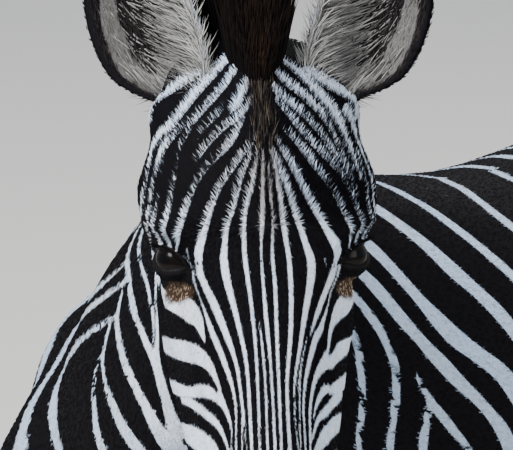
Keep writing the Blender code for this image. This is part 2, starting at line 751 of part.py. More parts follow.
def build():
    for obj in list(bpy.data.objects):
        bpy.data.objects.remove(obj)
    masses = head_masses() + trunk_masses() + [neck()] + [leg(name) for name in STANCE]
    body = thinned_body(blended_body(masses))

    # What rests on the body is cut back by a slightly larger copy of it.
    fat = swollen(body)
    ears = [cleared(ear("ear_left", 1), fat), cleared(ear("ear_right", -1), fat)]
    forelock = cleared(hair_crest("forelock", forelock_stops(), 0.012, -0.15), fat)
    mane = cleared(hair_crest("mane", mane_stops(), 0.030, 0.55), fat)
    dock = cleared(tail("tail_dock", 0, TUFT_FROM), fat)
    tuft = tail("tail_tuft", TUFT_FROM, 1)
    tuft.location.z -= GAP
    remove(fat)

    # The eyeballs sit in pockets of the head.
    pockets = []
    for side in (1, -1):
        pocket = eye("pocket", side)
        centre = on_head(side * EYE_SIDE, EYE_DOWN, EYE_DEEP)
        about_centre = Matrix.Scale(1 + 2 * GAP / EYE_RADIUS, 4) @ Matrix.Translation(-centre)
        pocket.data.transform(Matrix.Translation(centre) @ about_centre)
        pockets.append(pocket)
    hollowed = part_from(body, "hollowed_body", [(p, "DIFFERENCE") for p in pockets])
    for obj in (*pockets, body):
        remove(obj)
    flesh = divided(hollowed)
    remove(hollowed)

    eyes = [eye("eye_left", 1), eye("eye_right", -1)]
    hooves = [hoof(name) for name in STANCE]
    hair = [forelock, mane, tuft]

    zebra = bpy.data.collections.new("zebra")
    bpy.context.scene.collection.children.link(zebra)
    looks = [
        (flesh + ears + [dock], material("coat", COAT_PALE, 0.85)),
        (eyes, material("eyeball", EYE_BROWN, 0.08)),
        (hooves, material("horn", HORN_GREY, 0.45)),
        (hair, material("hair", HAIR_DARK, 0.8)),
    ]
    for objects, look in looks:
        for obj in objects:
            obj.data.materials.clear()
            obj.data.materials.append(look)
            obj.data.transform(Matrix.Translation(PLACE))
            bpy.context.scene.collection.objects.unlink(obj)
            zebra.objects.link(obj)


build()
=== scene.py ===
import math

import bmesh
import bpy
import numpy as np
from mathutils import Matrix, Vector
from mathutils.bvhtree import BVHTree


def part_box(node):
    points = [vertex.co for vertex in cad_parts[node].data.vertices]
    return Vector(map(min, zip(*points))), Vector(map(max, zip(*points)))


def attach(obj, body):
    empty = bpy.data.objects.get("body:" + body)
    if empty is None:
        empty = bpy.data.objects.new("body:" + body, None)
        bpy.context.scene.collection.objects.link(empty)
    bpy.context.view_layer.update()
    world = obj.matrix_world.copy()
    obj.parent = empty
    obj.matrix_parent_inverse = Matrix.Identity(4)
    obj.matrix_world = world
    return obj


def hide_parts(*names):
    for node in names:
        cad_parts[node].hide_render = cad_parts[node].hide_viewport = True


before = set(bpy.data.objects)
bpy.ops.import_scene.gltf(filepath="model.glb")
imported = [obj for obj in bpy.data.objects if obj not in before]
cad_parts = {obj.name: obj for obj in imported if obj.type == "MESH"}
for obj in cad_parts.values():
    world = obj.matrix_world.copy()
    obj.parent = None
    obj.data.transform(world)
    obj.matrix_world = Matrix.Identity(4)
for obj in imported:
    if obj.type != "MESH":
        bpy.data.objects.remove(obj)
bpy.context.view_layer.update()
rng = np.random.default_rng(7)
sides = {"right": -1, "left": 1}  # the zebra's own sides

# the head's own axes: side to its left, up the face to the poll, and out of the face
headPose = {"yaw": 51.3, "pitch": 19.0, "eyeUp": 0.011, "eyeDeep": 0.056}


def middleOf(node):
    low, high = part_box(node)
    return (Vector(low) + Vector(high)) / 2


headYaw, headPitch = math.radians(headPose["yaw"]), math.radians(headPose["pitch"])
headSide = Vector((math.cos(headYaw), math.sin(headYaw), 0))
headOut = Vector(
    (math.sin(headYaw) * math.cos(headPitch), -math.cos(headYaw) * math.cos(headPitch), math.sin(headPitch))
)
headUp = headOut.cross(headSide)
eyeMiddle = (middleOf("eye_left") + middleOf("eye_right")) / 2
faceMiddle = eyeMiddle - headUp * headPose["eyeUp"] + headOut * headPose["eyeDeep"]
# the ground under the trunk's middle, where the trunk's own millimetres start
trunkZero = Vector((-0.132, 0.007, 0))


def onHead(side, down, deep):
    return faceMiddle + headSide * side - headUp * down + headOut * deep


def headWay(side, up, out):
    return (headSide * side + headUp * up + headOut * out).normalized()


def dot(points, axis):
    return points @ np.array(axis)


def unit(vectors):
    return vectors / np.maximum(np.linalg.norm(vectors, axis=-1, keepdims=True), 1e-12)


def smoothStep(low, high, value):
    share = np.clip((value - low) / (high - low), 0, 1)
    return share * share * (3 - 2 * share)


def throughPoints(rows, count):
    # a smooth line through the rows, with the same number of steps between each two
    rows = np.array(rows, float)
    padded = np.vstack([2 * rows[0] - rows[1], rows, 2 * rows[-1] - rows[-2]])
    made = []
    for k in range(len(rows) - 1):
        a, b, c, d = padded[k : k + 4]
        t = (np.arange(count) / count)[:, None]
        squared, cubed = 2 * a - 5 * b + 4 * c - d, 3 * b - a - 3 * c + d
        made.append(0.5 * (2 * b + (c - a) * t + squared * t**2 + cubed * t**3))
    made.append(rows[-1:])
    return np.vstack(made)


waves = rng.normal(size=(14, 3))
wavePhases = rng.uniform(0, 2 * math.pi, 14)


def ripple(points, size):
    # soft noise from about -1 to 1, its humps about this many metres apart
    return np.sin(points @ (waves.T * (math.pi / size)) + wavePhases).mean(1) * 2.2


# camera: the head straight on, the body turned away behind it
view = {
    "azimuth": 45,
    "elevation": 14,
    "distance": 6.0,
    "across": 0.4777,  # width seen at the head, in metres
    "aimSide": -0.0107,
    "aimUp": 0.0372,
}
azimuth, elevation = math.radians(view["azimuth"]), math.radians(view["elevation"])
viewBack = Vector(
    (math.sin(azimuth) * math.cos(elevation), -math.cos(azimuth) * math.cos(elevation), math.sin(elevation))
)
viewRight = Vector((math.cos(azimuth), math.sin(azimuth), 0))
aim = faceMiddle + viewRight * view["aimSide"] + viewBack.cross(viewRight) * view["aimUp"]
bpy.ops.object.select_all(action="DESELECT")
bpy.ops.object.camera_add(
    location=aim + viewBack * view["distance"], rotation=viewBack.to_track_quat("Z", "Y").to_euler()
)
camera = bpy.context.object
camera.data.sensor_width = 36
camera.data.lens = 36 * view["distance"] / view["across"]
camera.data.clip_end = 100
bpy.context.scene.camera = camera


def srgb(code):
    parts = [int(code[i : i + 2], 16) / 255 for i in (1, 3, 5)]
    return (*[p / 12.92 if p <= 0.04045 else ((p + 0.055) / 1.055) ** 2.4 for p in parts], 1)


def newMaterial(name):
    made = bpy.data.materials.new(name)
    made.use_nodes = True
    return made


def shaderOf(material):
    return material.node_tree.nodes["Principled BSDF"]


def addNode(material, kind, settings=None, links=None):
    # settings whose name is a socket's, or a number, go to that socket
    node = material.node_tree.nodes.new(kind)
    settings = settings or {}
    for key in [k for k in settings if isinstance(k, str) and k not in node.inputs]:
        setattr(node, key, settings[key])
    for key, value in settings.items():
        if not isinstance(key, str) or key in node.inputs:
            node.inputs[key].default_value = value
    for key, socket in (links or {}).items():
        material.node_tree.links.new(socket, node.inputs[key])
    return node


def blendColours(material, share, first, second):
    node = addNode(material, "ShaderNodeMix", {"data_type": "RGBA"})
    for index, value in ((0, share), (6, first), (7, second)):
        if isinstance(value, bpy.types.NodeSocket):
            material.node_tree.links.new(value, node.inputs[index])
        else:
            node.inputs[index].default_value = value
    return node.outputs[2]


def setShader(material, links=None, **sockets):
    shader = shaderOf(material)
    for key, value in sockets.items():
        shader.inputs[key.replace("_", " ")].default_value = value
    for key, socket in (links or {}).items():
        material.node_tree.links.new(socket, shader.inputs[key])


studio = {
    "floor": "#d6d4cf",
    "floorSize": 60,
    "sky": "#dfe4ec",
    "skyStrength": 0.85,
    # name, place, watts, size
    "lamps": (
        ("key_light", (0.4, -4.6, 5.4), 880, 2.6),
        ("fill_light", (5.2, -1.0, 3.0), 150, 3.2),
        ("back_light", (-2.4, 4.2, 4.4), 140, 2.6),
    ),
}
# matt paint on a studio floor
floorPaint = newMaterial("matt_painted_floor")
floorGrain = addNode(
    floorPaint,
    "ShaderNodeTexNoise",
    {"Scale": 60, "Detail": 3},
    {"Vector": addNode(floorPaint, "ShaderNodeTexCoord").outputs["Object"]},
)
floorBump = addNode(
    floorPaint, "ShaderNodeBump", {"Strength": 0.05, "Distance": 0.001}, {"Height": floorGrain.outputs["Fac"]}
)
setShader(floorPaint, {"Normal": floorBump.outputs[0]}, Base_Color=srgb(studio["floor"]), Roughness=0.9)
bpy.ops.mesh.primitive_plane_add(size=studio["floorSize"], location=(0, 0, 0))
floor = bpy.context.object
floor.name = "studio_floor"
floor.data.materials.append(floorPaint)
sky = bpy.data.worlds.new("soft_sky")
sky.use_nodes = True
sky.node_tree.nodes["Background"].inputs["Color"].default_value = srgb(studio["sky"])
sky.node_tree.nodes["Background"].inputs["Strength"].default_value = studio["skyStrength"]
bpy.context.scene.world = sky
for lampName, lampPlace, lampPower, lampSize in studio["lamps"]:
    turned = (Vector(lampPlace) - Vector((0, 0, 1.1))).to_track_quat("Z", "Y").to_euler()
    bpy.ops.object.light_add(type="AREA", location=lampPlace, rotation=turned)
    bpy.context.object.name = lampName
    bpy.context.object.data.energy = lampPower
    bpy.context.object.data.size = lampSize
print("camera, floor and light stand")

coatColours = {
    # the whites carry a painted blue of sky light, and the body's two whites are a darker copy of the face's,
    # painted shade
    "pale": "#d0e1fa",
    "paleWarm": "#e0e2e5",
    "bodyShadedPale": "#a6bbd6",
    "bodyShadedPaleWarm": "#adb8c5",
    "earShadeGrey": "#575758",
    "dark": "#0b0b10",
    "darkWarm": "#0f0d0f",
    "rust": "#43342a",
    "tan": "#75644f",
    "bare": "#0e0c0d",
}


def attributeOf(material, name, output="Fac"):
    return addNode(material, "ShaderNodeAttribute", {"attribute_name": name}).outputs[output]


def noiseOf(material, place, scale, detail):
    settings = {"Scale": scale, "Detail": detail}
    return addNode(material, "ShaderNodeTexNoise", settings, {"Vector": place}).outputs["Fac"]


def rangeOf(material, value, settings):
    return addNode(material, "ShaderNodeMapRange", settings, {0: value}).outputs[0]


def peltMaterial():
    # short zebra pelt on black skin: matt, with a grain as fine as its hairs
    paint = newMaterial("short_zebra_pelt")
    place = addNode(paint, "ShaderNodeTexCoord").outputs["Object"]
    # hairs a millimetre apart shift a stripe's edge by a share of their length
    hairs = noiseOf(paint, place, 700, 2)
    off = addNode(paint, "ShaderNodeMath", {"operation": "SUBTRACT", 1: 0.5}, {0: hairs}).outputs[0]
    push = addNode(
        paint, "ShaderNodeMath", {"operation": "MULTIPLY"}, {0: off, 1: attributeOf(paint, "fuzz")}
    ).outputs[0]
    pale = attributeOf(paint, "pale")
    edge = addNode(paint, "ShaderNodeMath", {"operation": "ADD"}, {0: pale, 1: push}).outputs[0]
    share = rangeOf(paint, edge, {1: -0.5, 2: 0.5})
    patches = noiseOf(paint, place, 14, 4)
    fine = noiseOf(paint, place, 420, 3)
    paleTone = blendColours(paint, patches, srgb(coatColours["pale"]), srgb(coatColours["paleWarm"]))
    bodyShadedTone = blendColours(paint, patches, srgb(coatColours["bodyShadedPale"]), srgb(coatColours["bodyShadedPaleWarm"]))
    # painted shade: away from the face the white turns to the body's darker copy
    paleTone = blendColours(paint, attributeOf(paint, "bodyShadeShare"), paleTone, bodyShadedTone)
    # painted shade: inside the ear the white turns grey
    paleTone = blendColours(paint, attributeOf(paint, "earInnerShade"), paleTone, srgb(coatColours["earShadeGrey"]))
    darkTone = blendColours(paint, patches, srgb(coatColours["dark"]), srgb(coatColours["darkWarm"]))
    paleTone = blendColours(paint, attributeOf(paint, "tan"), paleTone, srgb(coatColours["tan"]))
    striped = blendColours(paint, share, darkTone, paleTone)
    rusted = blendColours(paint, attributeOf(paint, "warm"), striped, srgb(coatColours["rust"]))
    grain = rangeOf(paint, fine, {1: 0.3, 2: 0.75, 3: 0.72, 4: 1.0})
    shaded = blendColours(paint, grain, srgb("#000000"), rusted)
    base = blendColours(paint, attributeOf(paint, "bare"), shaded, srgb(coatColours["bare"]))
    rough = rangeOf(paint, attributeOf(paint, "bare"), {3: 0.8, 4: 0.5})
    relief = {"Strength": 0.5, "Distance": 0.0012}
    bump = addNode(paint, "ShaderNodeBump", relief, {"Height": fine}).outputs[0]
    setShader(paint, {"Base Color": base, "Roughness": rough, "Normal": bump}, Specular_IOR_Level=0.05)
    return paint


def hairMaterial():
    # guard hair in small locks, each as light or dark as the pelt at its root
    paint = newMaterial("zebra_guard_hair")
    ownColour = attributeOf(paint, "hair", "Color")
    setShader(paint, {"Base Color": ownColour}, Roughness=0.8, Specular_IOR_Level=0.04)
    return paint


pelt = peltMaterial()
guardHair = hairMaterial()

# marks: each stroke is a white line, given as points with its half width, all in millimetres
# on the face a point is its way round the head (0 down the nose, + to the left),
# its way down the face and its half width
faceStrokes = {
    "noseThin": ((-10, 54, 1), (-8, 75, 1.7), (-6, 116, 1.7), (-6, 174, 1.8)),
    "noseLeft": (
        (2, 174, 2), (0, 98, 1.8), (-3, 54, 2.5), (-5, 20, 2), (-6, -14, 1.6), (-4, -43, 2.6),
        (-2, -83, 1.9), (-1, -104, 1.2),
    ),
    "nose2": (
        (9, 174, 2), (7, 90, 2.2), (6, 24, 2.3), (4, -11, 2), (5, -40, 1.4), (4, -60, 1.6), (3, -92, 1.2),
    ),
    "nose3": (
        (19, 174, 2.8), (16, 115, 2.3), (21, 54, 2.8), (20, 1, 2.7), (14, -40, 2.7), (11, -69, 2.2),
        (8, -92, 1.8), (5, -108, 1.1),
    ),
    "nose4": (
        (30, 174, 1.3), (24, 118, 1.6), (32, 70, 2.9), (42, 8, 4.7), (35, -21, 3.5), (24, -50, 2.6),
        (15, -82, 2.1), (8, -106, 1.3),
    ),
    "nose5": ((39, 70, 1), (31, 102, 1.6), (31, 130, 1.6), (34, 174, 1.5)),
    "broad": (
        (44, 66, 1.1), (54, 43, 4.2), (64, 17, 4.8), (73, -6, 7), (56, -32, 3.8), (37, -62, 3),
        (21, -98, 2.3), (9, -120, 1),
    ),
    "lidLine": (
        (42, 174, 2), (37, 118, 2.4), (51, 73, 5.1), (63, 58, 5), (69, 40, 2), (71, 22, 1.5), (83, 1, 1.7),
        (87, -13, 1.1),
    ),
    "cheekTail": ((52, 174, 2.7), (49, 132, 3.2), (58, 104, 5), (79, 88, 9.2)),
    "eyePatch": ((190, 10, 5), (135, 26, 8), (117, 35, 11), (98, 39, 12.5), (87, 54, 6), (82, 81, 3)),
    "band1": ((205, 60, 6), (165, 67, 9), (128, 76, 10), (110, 82, 10), (92, 89, 7), (77, 92, 5)),
    "band2": (
        (205, 98, 6), (165, 104, 8), (122, 112, 7), (98, 115, 4.5), (80, 117, 6), (66, 127, 4.5),
        (58, 141, 2),
    ),
    "band3": ((150, 118, 5), (120, 125, 6.5), (90, 135, 6), (70, 143, 4.5), (55, 162, 2)),
    "band4": ((205, 140, 7), (160, 143, 9), (118, 150, 10), (88, 160, 9.5), (64, 174, 5)),
    "centre1": (
        (-14, 173, 1.8), (-14, 92, 2), (-17, 37, 2.2), (-21, -10, 2.6), (-19, -47, 2.1), (-12, -73, 2.3),
        (-7, -96, 1.6), (-4, -112, 1.0),
    ),
    "centre2": (
        (-23, 173, 2.3), (-24, 97, 2.3), (-31, 52, 2.9), (-40, 5, 4.2), (-37, -30, 2.6), (-28, -56, 2.1),
        (-20, -84, 1.8), (-11, -106, 1.2),
    ),
    "forkA": ((-35, 172, 1.4), (-31, 135, 1.8)),
    "forkB": ((-29, 173, 0.9), (-30, 134, 1.5)),
    "centre3": (
        (-31, 134, 2.1), (-36, 88, 2.6), (-53, 41, 5.2), (-64, 12, 4.4), (-66, -8, 5), (-54, -38, 3.2),
        (-40, -72, 2.9), (-20, -102, 1.7), (-1, -123, 0.9),
    ),
    "innerRight": (
        (-43, 172, 1.8), (-40, 125, 2.1), (-51, 86, 4.2), (-64, 59, 4.6), (-71, 35, 1.9), (-77, 7, 1.5),
        (-82, -13, 0.8),
    ),
    "cheekTailRight": ((-50, 171, 1.6), (-49, 145, 2.4), (-64, 121, 7.4)),
    "band3RightTop": (
        (-205, 100, 6), (-165, 106, 7), (-127, 112, 5.5), (-102, 112, 6.5), (-78, 116, 6), (-60, 132, 3.5),
    ),
    "band2Right": (
        (-205, 60, 6), (-165, 66, 9), (-125, 73, 10.5), (-94, 79, 9.5), (-75, 91, 6.5), (-62, 112, 3),
    ),
    "eyePatchRight": (
        (-190, 8, 5), (-136, 24, 8), (-109, 33, 10), (-94, 37, 12.5), (-84, 46, 9), (-79, 66, 2.4),
    ),
    "band3RightLow": ((-150, 118, 4), (-119, 125, 5), (-90, 136, 5), (-68, 149, 4.2), (-55, 172, 2)),
    "band4Right": ((-205, 143, 7), (-155, 150, 10), (-120, 158, 12), (-90, 168, 11), (-66, 184, 4)),
    "brow1": (
        (-89, -18, 1.2), (-78, -34, 2.6), (-67, -62, 2.8), (-54, -88, 2.8), (-31, -114, 3.2),
        (-17, -139, 1.2),
    ),
    "brow2": (
        (-95, -22, 2.5), (-89, -41, 2.4), (-80, -83, 2.8), (-79, -110, 2.6), (-66, -139, 3.5),
        (-40, -170, 4.2), (-25, -192, 3.3),
    ),
    "brow3": ((-68, -84, 0.9), (-57, -106, 3.2), (-40, -126, 3.1), (-20, -142, 2.6), (-8, -157, 1.4)),
    "brow4": ((-68, -111, 0.9), (-57, -129, 3), (-42, -144, 2.9), (-34, -157, 1.1)),
    "brow5": ((-32, -144, 2.1), (-24, -153, 4.4), (-16, -169, 4), (-9, -180, 2.3)),
    "temple1": ((-106, -26, 3.7), (-102, -48, 2.7), (-94, -77, 1.5), (-95, -103, 2.8)),
    "temple2": (
        (-130, -30, 2), (-112, -50, 3.4), (-102, -88, 2.8), (-98, -112, 5.2), (-80, -132, 3),
        (-58, -157, 1.7),
    ),
    "temple3": (
        (-140, -45, 3), (-122, -64, 3.7), (-114, -98, 3.8), (-114, -118, 6.3), (-90, -137, 5.2),
        (-70, -168, 6.8), (-42, -202, 6.6),
    ),
    "browB": ((89, -14, 1.4), (77, -36, 1.9), (59, -69, 1.9), (43, -95, 3.5), (29, -116, 2.1), (19, -127, 1)),
    "browC": (
        (96, -17, 2.5), (88, -43, 1.8), (72, -79, 1.9), (56, -101, 3.2), (40, -121, 3.2), (24, -144, 2),
        (16, -156, 1.8),
    ),
    "browD": ((84, -70, 1.1), (69, -98, 2.9), (55, -124, 2.8), (38, -145, 3.6), (14, -167, 2.3)),
    "browE": (
        (87, -61, 1.4), (75, -102, 2.4), (66, -135, 3.3), (47, -160, 5.2), (28, -176, 4), (20, -191, 3),
    ),
    "browF": ((85, -87, 1.6), (75, -122, 1.8), (65, -149, 1.7)),
    "browG": (
        (93, -76, 1.8), (90, -98, 3), (83, -130, 5.7), (70, -160, 7.2), (50, -187, 6.6), (38, -199, 4.1),
    ),
    "temple1Left": ((106, -26, 3.4), (103, -50, 2.6), (99, -80, 2), (97, -108, 3)),
    "temple2Left": ((132, -32, 3), (116, -56, 3.6), (109, -90, 3), (104, -118, 5), (92, -146, 5)),
    "temple3Left": ((145, -48, 3), (128, -75, 4), (120, -108, 5), (112, -140, 6), (95, -170, 6)),
    "jaw1": ((118, -14, 2), (150, -20, 4), (200, -8, 6), (225, 0, 4)),
    "jaw2": ((150, -60, 3), (185, -54, 6), (225, -38, 5)),
    "jaw3": ((142, -95, 4), (180, -96, 6), (225, -80, 5)),
    "jaw4": ((135, -140, 5), (170, -140, 7), (225, -120, 6)),
    "jaw1Right": ((-118, -14, 2), (-150, -22, 4), (-200, -9, 6), (-225, -2, 4)),
    "jaw2Right": ((-150, -58, 3), (-185, -54, 6), (-225, -40, 5)),
    "jaw3Right": ((-142, -93, 4), (-180, -98, 6), (-225, -80, 5)),
    "jaw4Right": ((-135, -138, 5), (-170, -142, 7), (-225, -122, 6)),
    "earBase": ((104, -135, 3), (107, -155, 7), (93, -170, 8), (70, -184, 7)),
    "earBaseRight": ((-124, -138, 4), (-119, -158, 7), (-100, -176, 8), (-74, -189, 7)),
    "chin1": ((205, 176, 8), (150, 180, 10), (112, 190, 9), (84, 202, 6), (66, 222, 2)),
    "chin2": ((205, 208, 7), (150, 212, 8), (108, 222, 7), (80, 236, 3)),
    "chin1Right": ((-205, 178, 8), (-150, 184, 10), (-110, 194, 9), (-84, 206, 6), (-64, 226, 2)),
    "chin2Right": ((-205, 212, 7), (-150, 216, 8), (-106, 226, 7), (-78, 240, 3)),
    "lidFleck1": ((-76, -19, 1.2), (-77, -10, 1.2)),
    "lidFleck2": ((55, -6, 1), (57, 0, 1.1)),
}
# black lines laid over the white
faceIslands = {
    "left": ((92, 119, 2), (82, 127, 4.7), (67, 136, 3.7), (62, 143, 2)),
    "right": ((-103, 121, 2.2), (-80, 127, 5.2), (-60, 138, 4), (-52, 158, 1.8)),
}
# on the neck: degrees round it (0 at the mane, + to the left), share of its length, half width
neckRings = (
    (0.965, 6), (0.905, 6.5), (0.85, 6.5), (0.795, 6.5), (0.74, 6),
    (0.678, 6), (0.612, 6), (0.553, 6), (0.497, 6), (0.447, 6.5),
)
neckRingsLow = ((0.40, 8), (0.335, 8), (0.27, 8.5), (0.205, 9), (0.14, 9), (0.07, 9))
neckStrokes = {
    "jawLine": (
        (-118, 0.79, 1.5), (-130, 0.776, 2), (-140, 0.751, 2.2), (-149, 0.722, 2.2), (-155, 0.692, 2.2),
        (-162, 0.666, 2.2), (-169, 0.635, 2.4), (-176, 0.597, 2.8), (-184, 0.55, 3.4),
    ),
    "throat0": (
        (-40, 0.728, 4), (-86, 0.706, 3.5), (-121, 0.738, 3.2), (-140, 0.732, 2.4), (-151, 0.697, 1.6),
        (-161, 0.657, 1.2),
    ),
    "throat1": (
        (-40, 0.672, 4), (-75, 0.648, 4), (-102, 0.665, 4.5), (-125, 0.665, 5), (-145, 0.679, 4.6),
        (-158, 0.668, 4.4), (-168, 0.627, 4.4), (-180, 0.56, 4.6),
    ),
    "throat2": (
        (-108, 0.632, 2), (-110, 0.624, 3), (-122, 0.602, 4.6), (-139, 0.597, 5.4), (-153, 0.597, 6),
        (-164, 0.585, 6.4), (-176, 0.553, 7), (-188, 0.52, 7),
    ),
    "throat3": (
        (-117, 0.58, 1.6), (-119, 0.571, 2.4), (-127, 0.541, 3), (-138, 0.528, 3.6), (-152, 0.524, 5.4),
        (-165, 0.514, 7), (-188, 0.49, 7),
    ),
    "throat4": (
        (-126, 0.53, 1.6), (-129, 0.513, 2.6), (-137, 0.487, 3.2), (-145, 0.471, 4), (-156, 0.455, 5.2),
        (-188, 0.44, 6),
    ),
    "rightInner": (
        (-118, 0.61, 2.5), (-100, 0.46, 4.5), (-95, 0.35, 6), (-104, 0.32, 6), (-118, 0.32, 6),
        (-140, 0.34, 6),
    ),
    "rightMiddle": (
        (-103, 0.65, 2.5), (-84, 0.50, 5), (-66, 0.36, 5), (-61, 0.29, 5), (-80, 0.28, 5.5),
        (-100, 0.265, 5.5), (-125, 0.26, 5),
    ),
    "rightOuter": (
        (-86, 0.65, 2.5), (-68, 0.48, 4.5), (-50, 0.33, 5), (-43, 0.25, 5.5), (-54, 0.2, 6), (-80, 0.19, 6),
        (-125, 0.19, 5),
    ),
}
# on the trunk, seen from its left: millimetres back, up, and the half width
# the first point lies on the spine, but not on a fork
trunkStrokes = {
    "shoulder3": (
        (-400, 1170, 3), (-352, 1100, 6), (-350, 1040, 6), (-366, 960, 7), (-376, 880, 7), (-368, 790, 7),
    ),
    "shoulder2": (
        (-350, 1240, 2.5), (-290, 1180, 5), (-275, 1136, 6), (-285, 1079, 6), (-299, 1041, 6),
        (-314, 980, 6), (-322, 900, 7), (-314, 790, 6),
    ),
    "shoulder1": (
        (-350, 1270, 2.5), (-318, 1245, 4), (-282, 1205, 5), (-252, 1165, 6), (-237, 1118, 6),
        (-240, 1088, 6), (-262, 1027, 6), (-272, 950, 7), (-268, 870, 8), (-258, 770, 7),
    ),
    "forkUpper": (
        (-213, 1095, 3), (-204, 1066, 6), (-187, 1040, 7), (-163, 1000, 7), (-158, 950, 8), (-160, 880, 9),
        (-160, 800, 9), (-162, 715, 7),
    ),
    "forkLower": (
        (-204, 1066, 4), (-217, 1040, 6), (-225, 1005, 6), (-218, 950, 7), (-210, 880, 8), (-208, 800, 8),
        (-208, 725, 6),
    ),
    "side5": (
        (-330, 1285, 3), (-298, 1258, 5), (-262, 1225, 7), (-234, 1190, 8.5), (-198, 1129, 9.5),
        (-171, 1090, 10), (-144, 1056, 10.5), (-120, 1011, 11), (-116, 940, 11), (-114, 860, 11),
        (-116, 770, 10), (-118, 690, 8),
    ),
    "side4": (
        (-300, 1292, 6), (-255, 1262, 9), (-209, 1213, 9.5), (-181, 1164, 10), (-159, 1129, 12),
        (-130, 1100, 13), (-101, 1066, 13.5), (-78, 990, 12), (-68, 900, 12), (-66, 800, 11), (-70, 690, 8),
    ),
    "side3": (
        (-225, 1285, 8), (-165, 1240, 11), (-118, 1179, 11), (-81, 1126, 11), (-52, 1050, 10),
        (-32, 960, 10), (-22, 870, 11), (-20, 770, 10), (-22, 690, 8),
    ),
    "side2": (
        (-135, 1264, 6), (-103, 1243, 9), (-61, 1188, 8.5), (-38, 1150, 8), (-8, 1070, 8), (10, 980, 9),
        (22, 880, 10), (26, 780, 9), (26, 690, 8),
    ),
    "shadow": ((-62, 1243, 0.8), (-50, 1238, 1.2), (-39, 1231, 1.4), (-24, 1216, 1.0)),
    "side1": (
        (12, 1237, 8), (-4, 1229, 10), (-6, 1216, 10), (2, 1200, 10), (18, 1165, 8.5), (38, 1085, 8),
        (55, 980, 9), (64, 880, 10), (70, 770, 9), (70, 690, 8),
    ),
    "rib1": (
        (90, 1229, 9), (80, 1215, 10), (84, 1180, 9), (95, 1095, 8), (106, 1000, 9), (110, 900, 10),
        (112, 800, 10), (112, 690, 8),
    ),
    "rib2": (
        (152, 1234, 9), (142, 1190, 9), (146, 1110, 8), (158, 1010, 10), (160, 910, 11), (156, 800, 10),
        (152, 695, 8),
    ),
    "rib3": (
        (208, 1238, 6), (198, 1190, 7), (200, 1110, 9), (210, 1015, 11), (212, 920, 12), (200, 820, 11),
        (192, 715, 8),
    ),
    "flank1": (
        (268, 1247, 6), (255, 1195, 8), (252, 1115, 10), (260, 1030, 12), (260, 950, 12), (242, 860, 11),
        (228, 770, 9), (225, 720, 7),
    ),
    "flank2": (
        (332, 1260, 7), (316, 1205, 9), (306, 1130, 11), (314, 1050, 12), (312, 965, 13), (288, 880, 12),
        (258, 805, 9),
    ),
    "croup1": (
        (402, 1273, 7), (392, 1225, 10), (370, 1150, 12), (370, 1070, 14), (358, 990, 14), (325, 905, 12),
        (285, 835, 8),
    ),
    "croup2": (
        (482, 1274, 8), (472, 1232, 11), (448, 1160, 13), (436, 1085, 14), (412, 1005, 14), (370, 928, 12),
        (318, 860, 8),
    ),
    "croup3": (
        (562, 1258, 8), (556, 1215, 12), (528, 1142, 14), (498, 1072, 14), (460, 1000, 14), (405, 930, 12),
        (348, 872, 8),
    ),
    "croup4": (
        (642, 1212, 8), (630, 1160, 12), (592, 1088, 14), (548, 1024, 14), (498, 964, 13), (432, 906, 11),
        (372, 862, 7),
    ),
    "thigh1": (
        (702, 1085, 10), (680, 1025, 13), (622, 960, 14), (550, 912, 13), (470, 872, 11), (395, 838, 7),
    ),
    "thigh2": ((714, 990, 11), (672, 928, 13), (600, 880, 13), (520, 846, 12), (440, 818, 9), (380, 800, 6)),
    "thigh3": ((705, 905, 11), (655, 856, 12), (580, 822, 11), (500, 797, 10), (420, 776, 7), (372, 762, 5)),
    "thigh4": ((695, 835, 10), (632, 796, 11), (560, 770, 10), (480, 750, 9), (400, 732, 6)),
}
marks = {
    "faceThin": 0.7,  # taken off every white line's half width on the face
    "trunkThin": 0.70,  # share kept of the trunk's half widths
    "dorsalHalf": 9,
    "breastStep": 52,
    "legStep": 24,
    "legGrowth": 0.04,
    "legPaleShare": 0.46,
    "muzzleFrom": 240,  # the dark muzzle starts this far down the face
}


def paintChart(strokes, low, high, step):
    # signed distance to the nearest stroke's edge over a flat chart, positive in the white
    us = np.arange(low[0], high[0] + step, step)
    vs = np.arange(low[1], high[1] + step, step)
    field = np.full((len(us), len(vs)), -60.0)
    for stroke in strokes:
        line = throughPoints(stroke, 8)
        for a, b in zip(line[:-1], line[1:]):
            reach = max(a[2], b[2]) + 26
            i0, i1 = np.searchsorted(us, (min(a[0], b[0]) - reach, max(a[0], b[0]) + reach))
            j0, j1 = np.searchsorted(vs, (min(a[1], b[1]) - reach, max(a[1], b[1]) + reach))
            if i0 == i1 or j0 == j1:
                continue
            gridU, gridV = np.meshgrid(us[i0:i1], vs[j0:j1], indexing="ij")
            du, dv = b[0] - a[0], b[1] - a[1]
            share = np.clip(((gridU - a[0]) * du + (gridV - a[1]) * dv) / (du * du + dv * dv + 1e-9), 0, 1)
            far = np.hypot(gridU - a[0] - share * du, gridV - a[1] - share * dv)
            field[i0:i1, j0:j1] = np.maximum(field[i0:i1, j0:j1], a[2] + (b[2] - a[2]) * share - far)
    return {"low": low, "step": step, "field": field}


def readChart(chart, u, v):
    field = chart["field"]
    x = np.clip((u - chart["low"][0]) / chart["step"], 0, field.shape[0] - 1.001)
    y = np.clip((v - chart["low"][1]) / chart["step"], 0, field.shape[1] - 1.001)
    i, j = x.astype(int), y.astype(int)
    x, y = x - i, y - j
    return (
        field[i, j] * (1 - x) * (1 - y)
        + field[i + 1, j] * x * (1 - y)
        + field[i, j + 1] * (1 - x) * y
        + field[i + 1, j + 1] * x * y
    )


def headChart(points):
    away = points - np.array(faceMiddle)
    side, up, out = dot(away, headSide), dot(away, headUp), dot(away, headOut)
    return np.arctan2(side, out + 0.100) * 100, -up * 1000


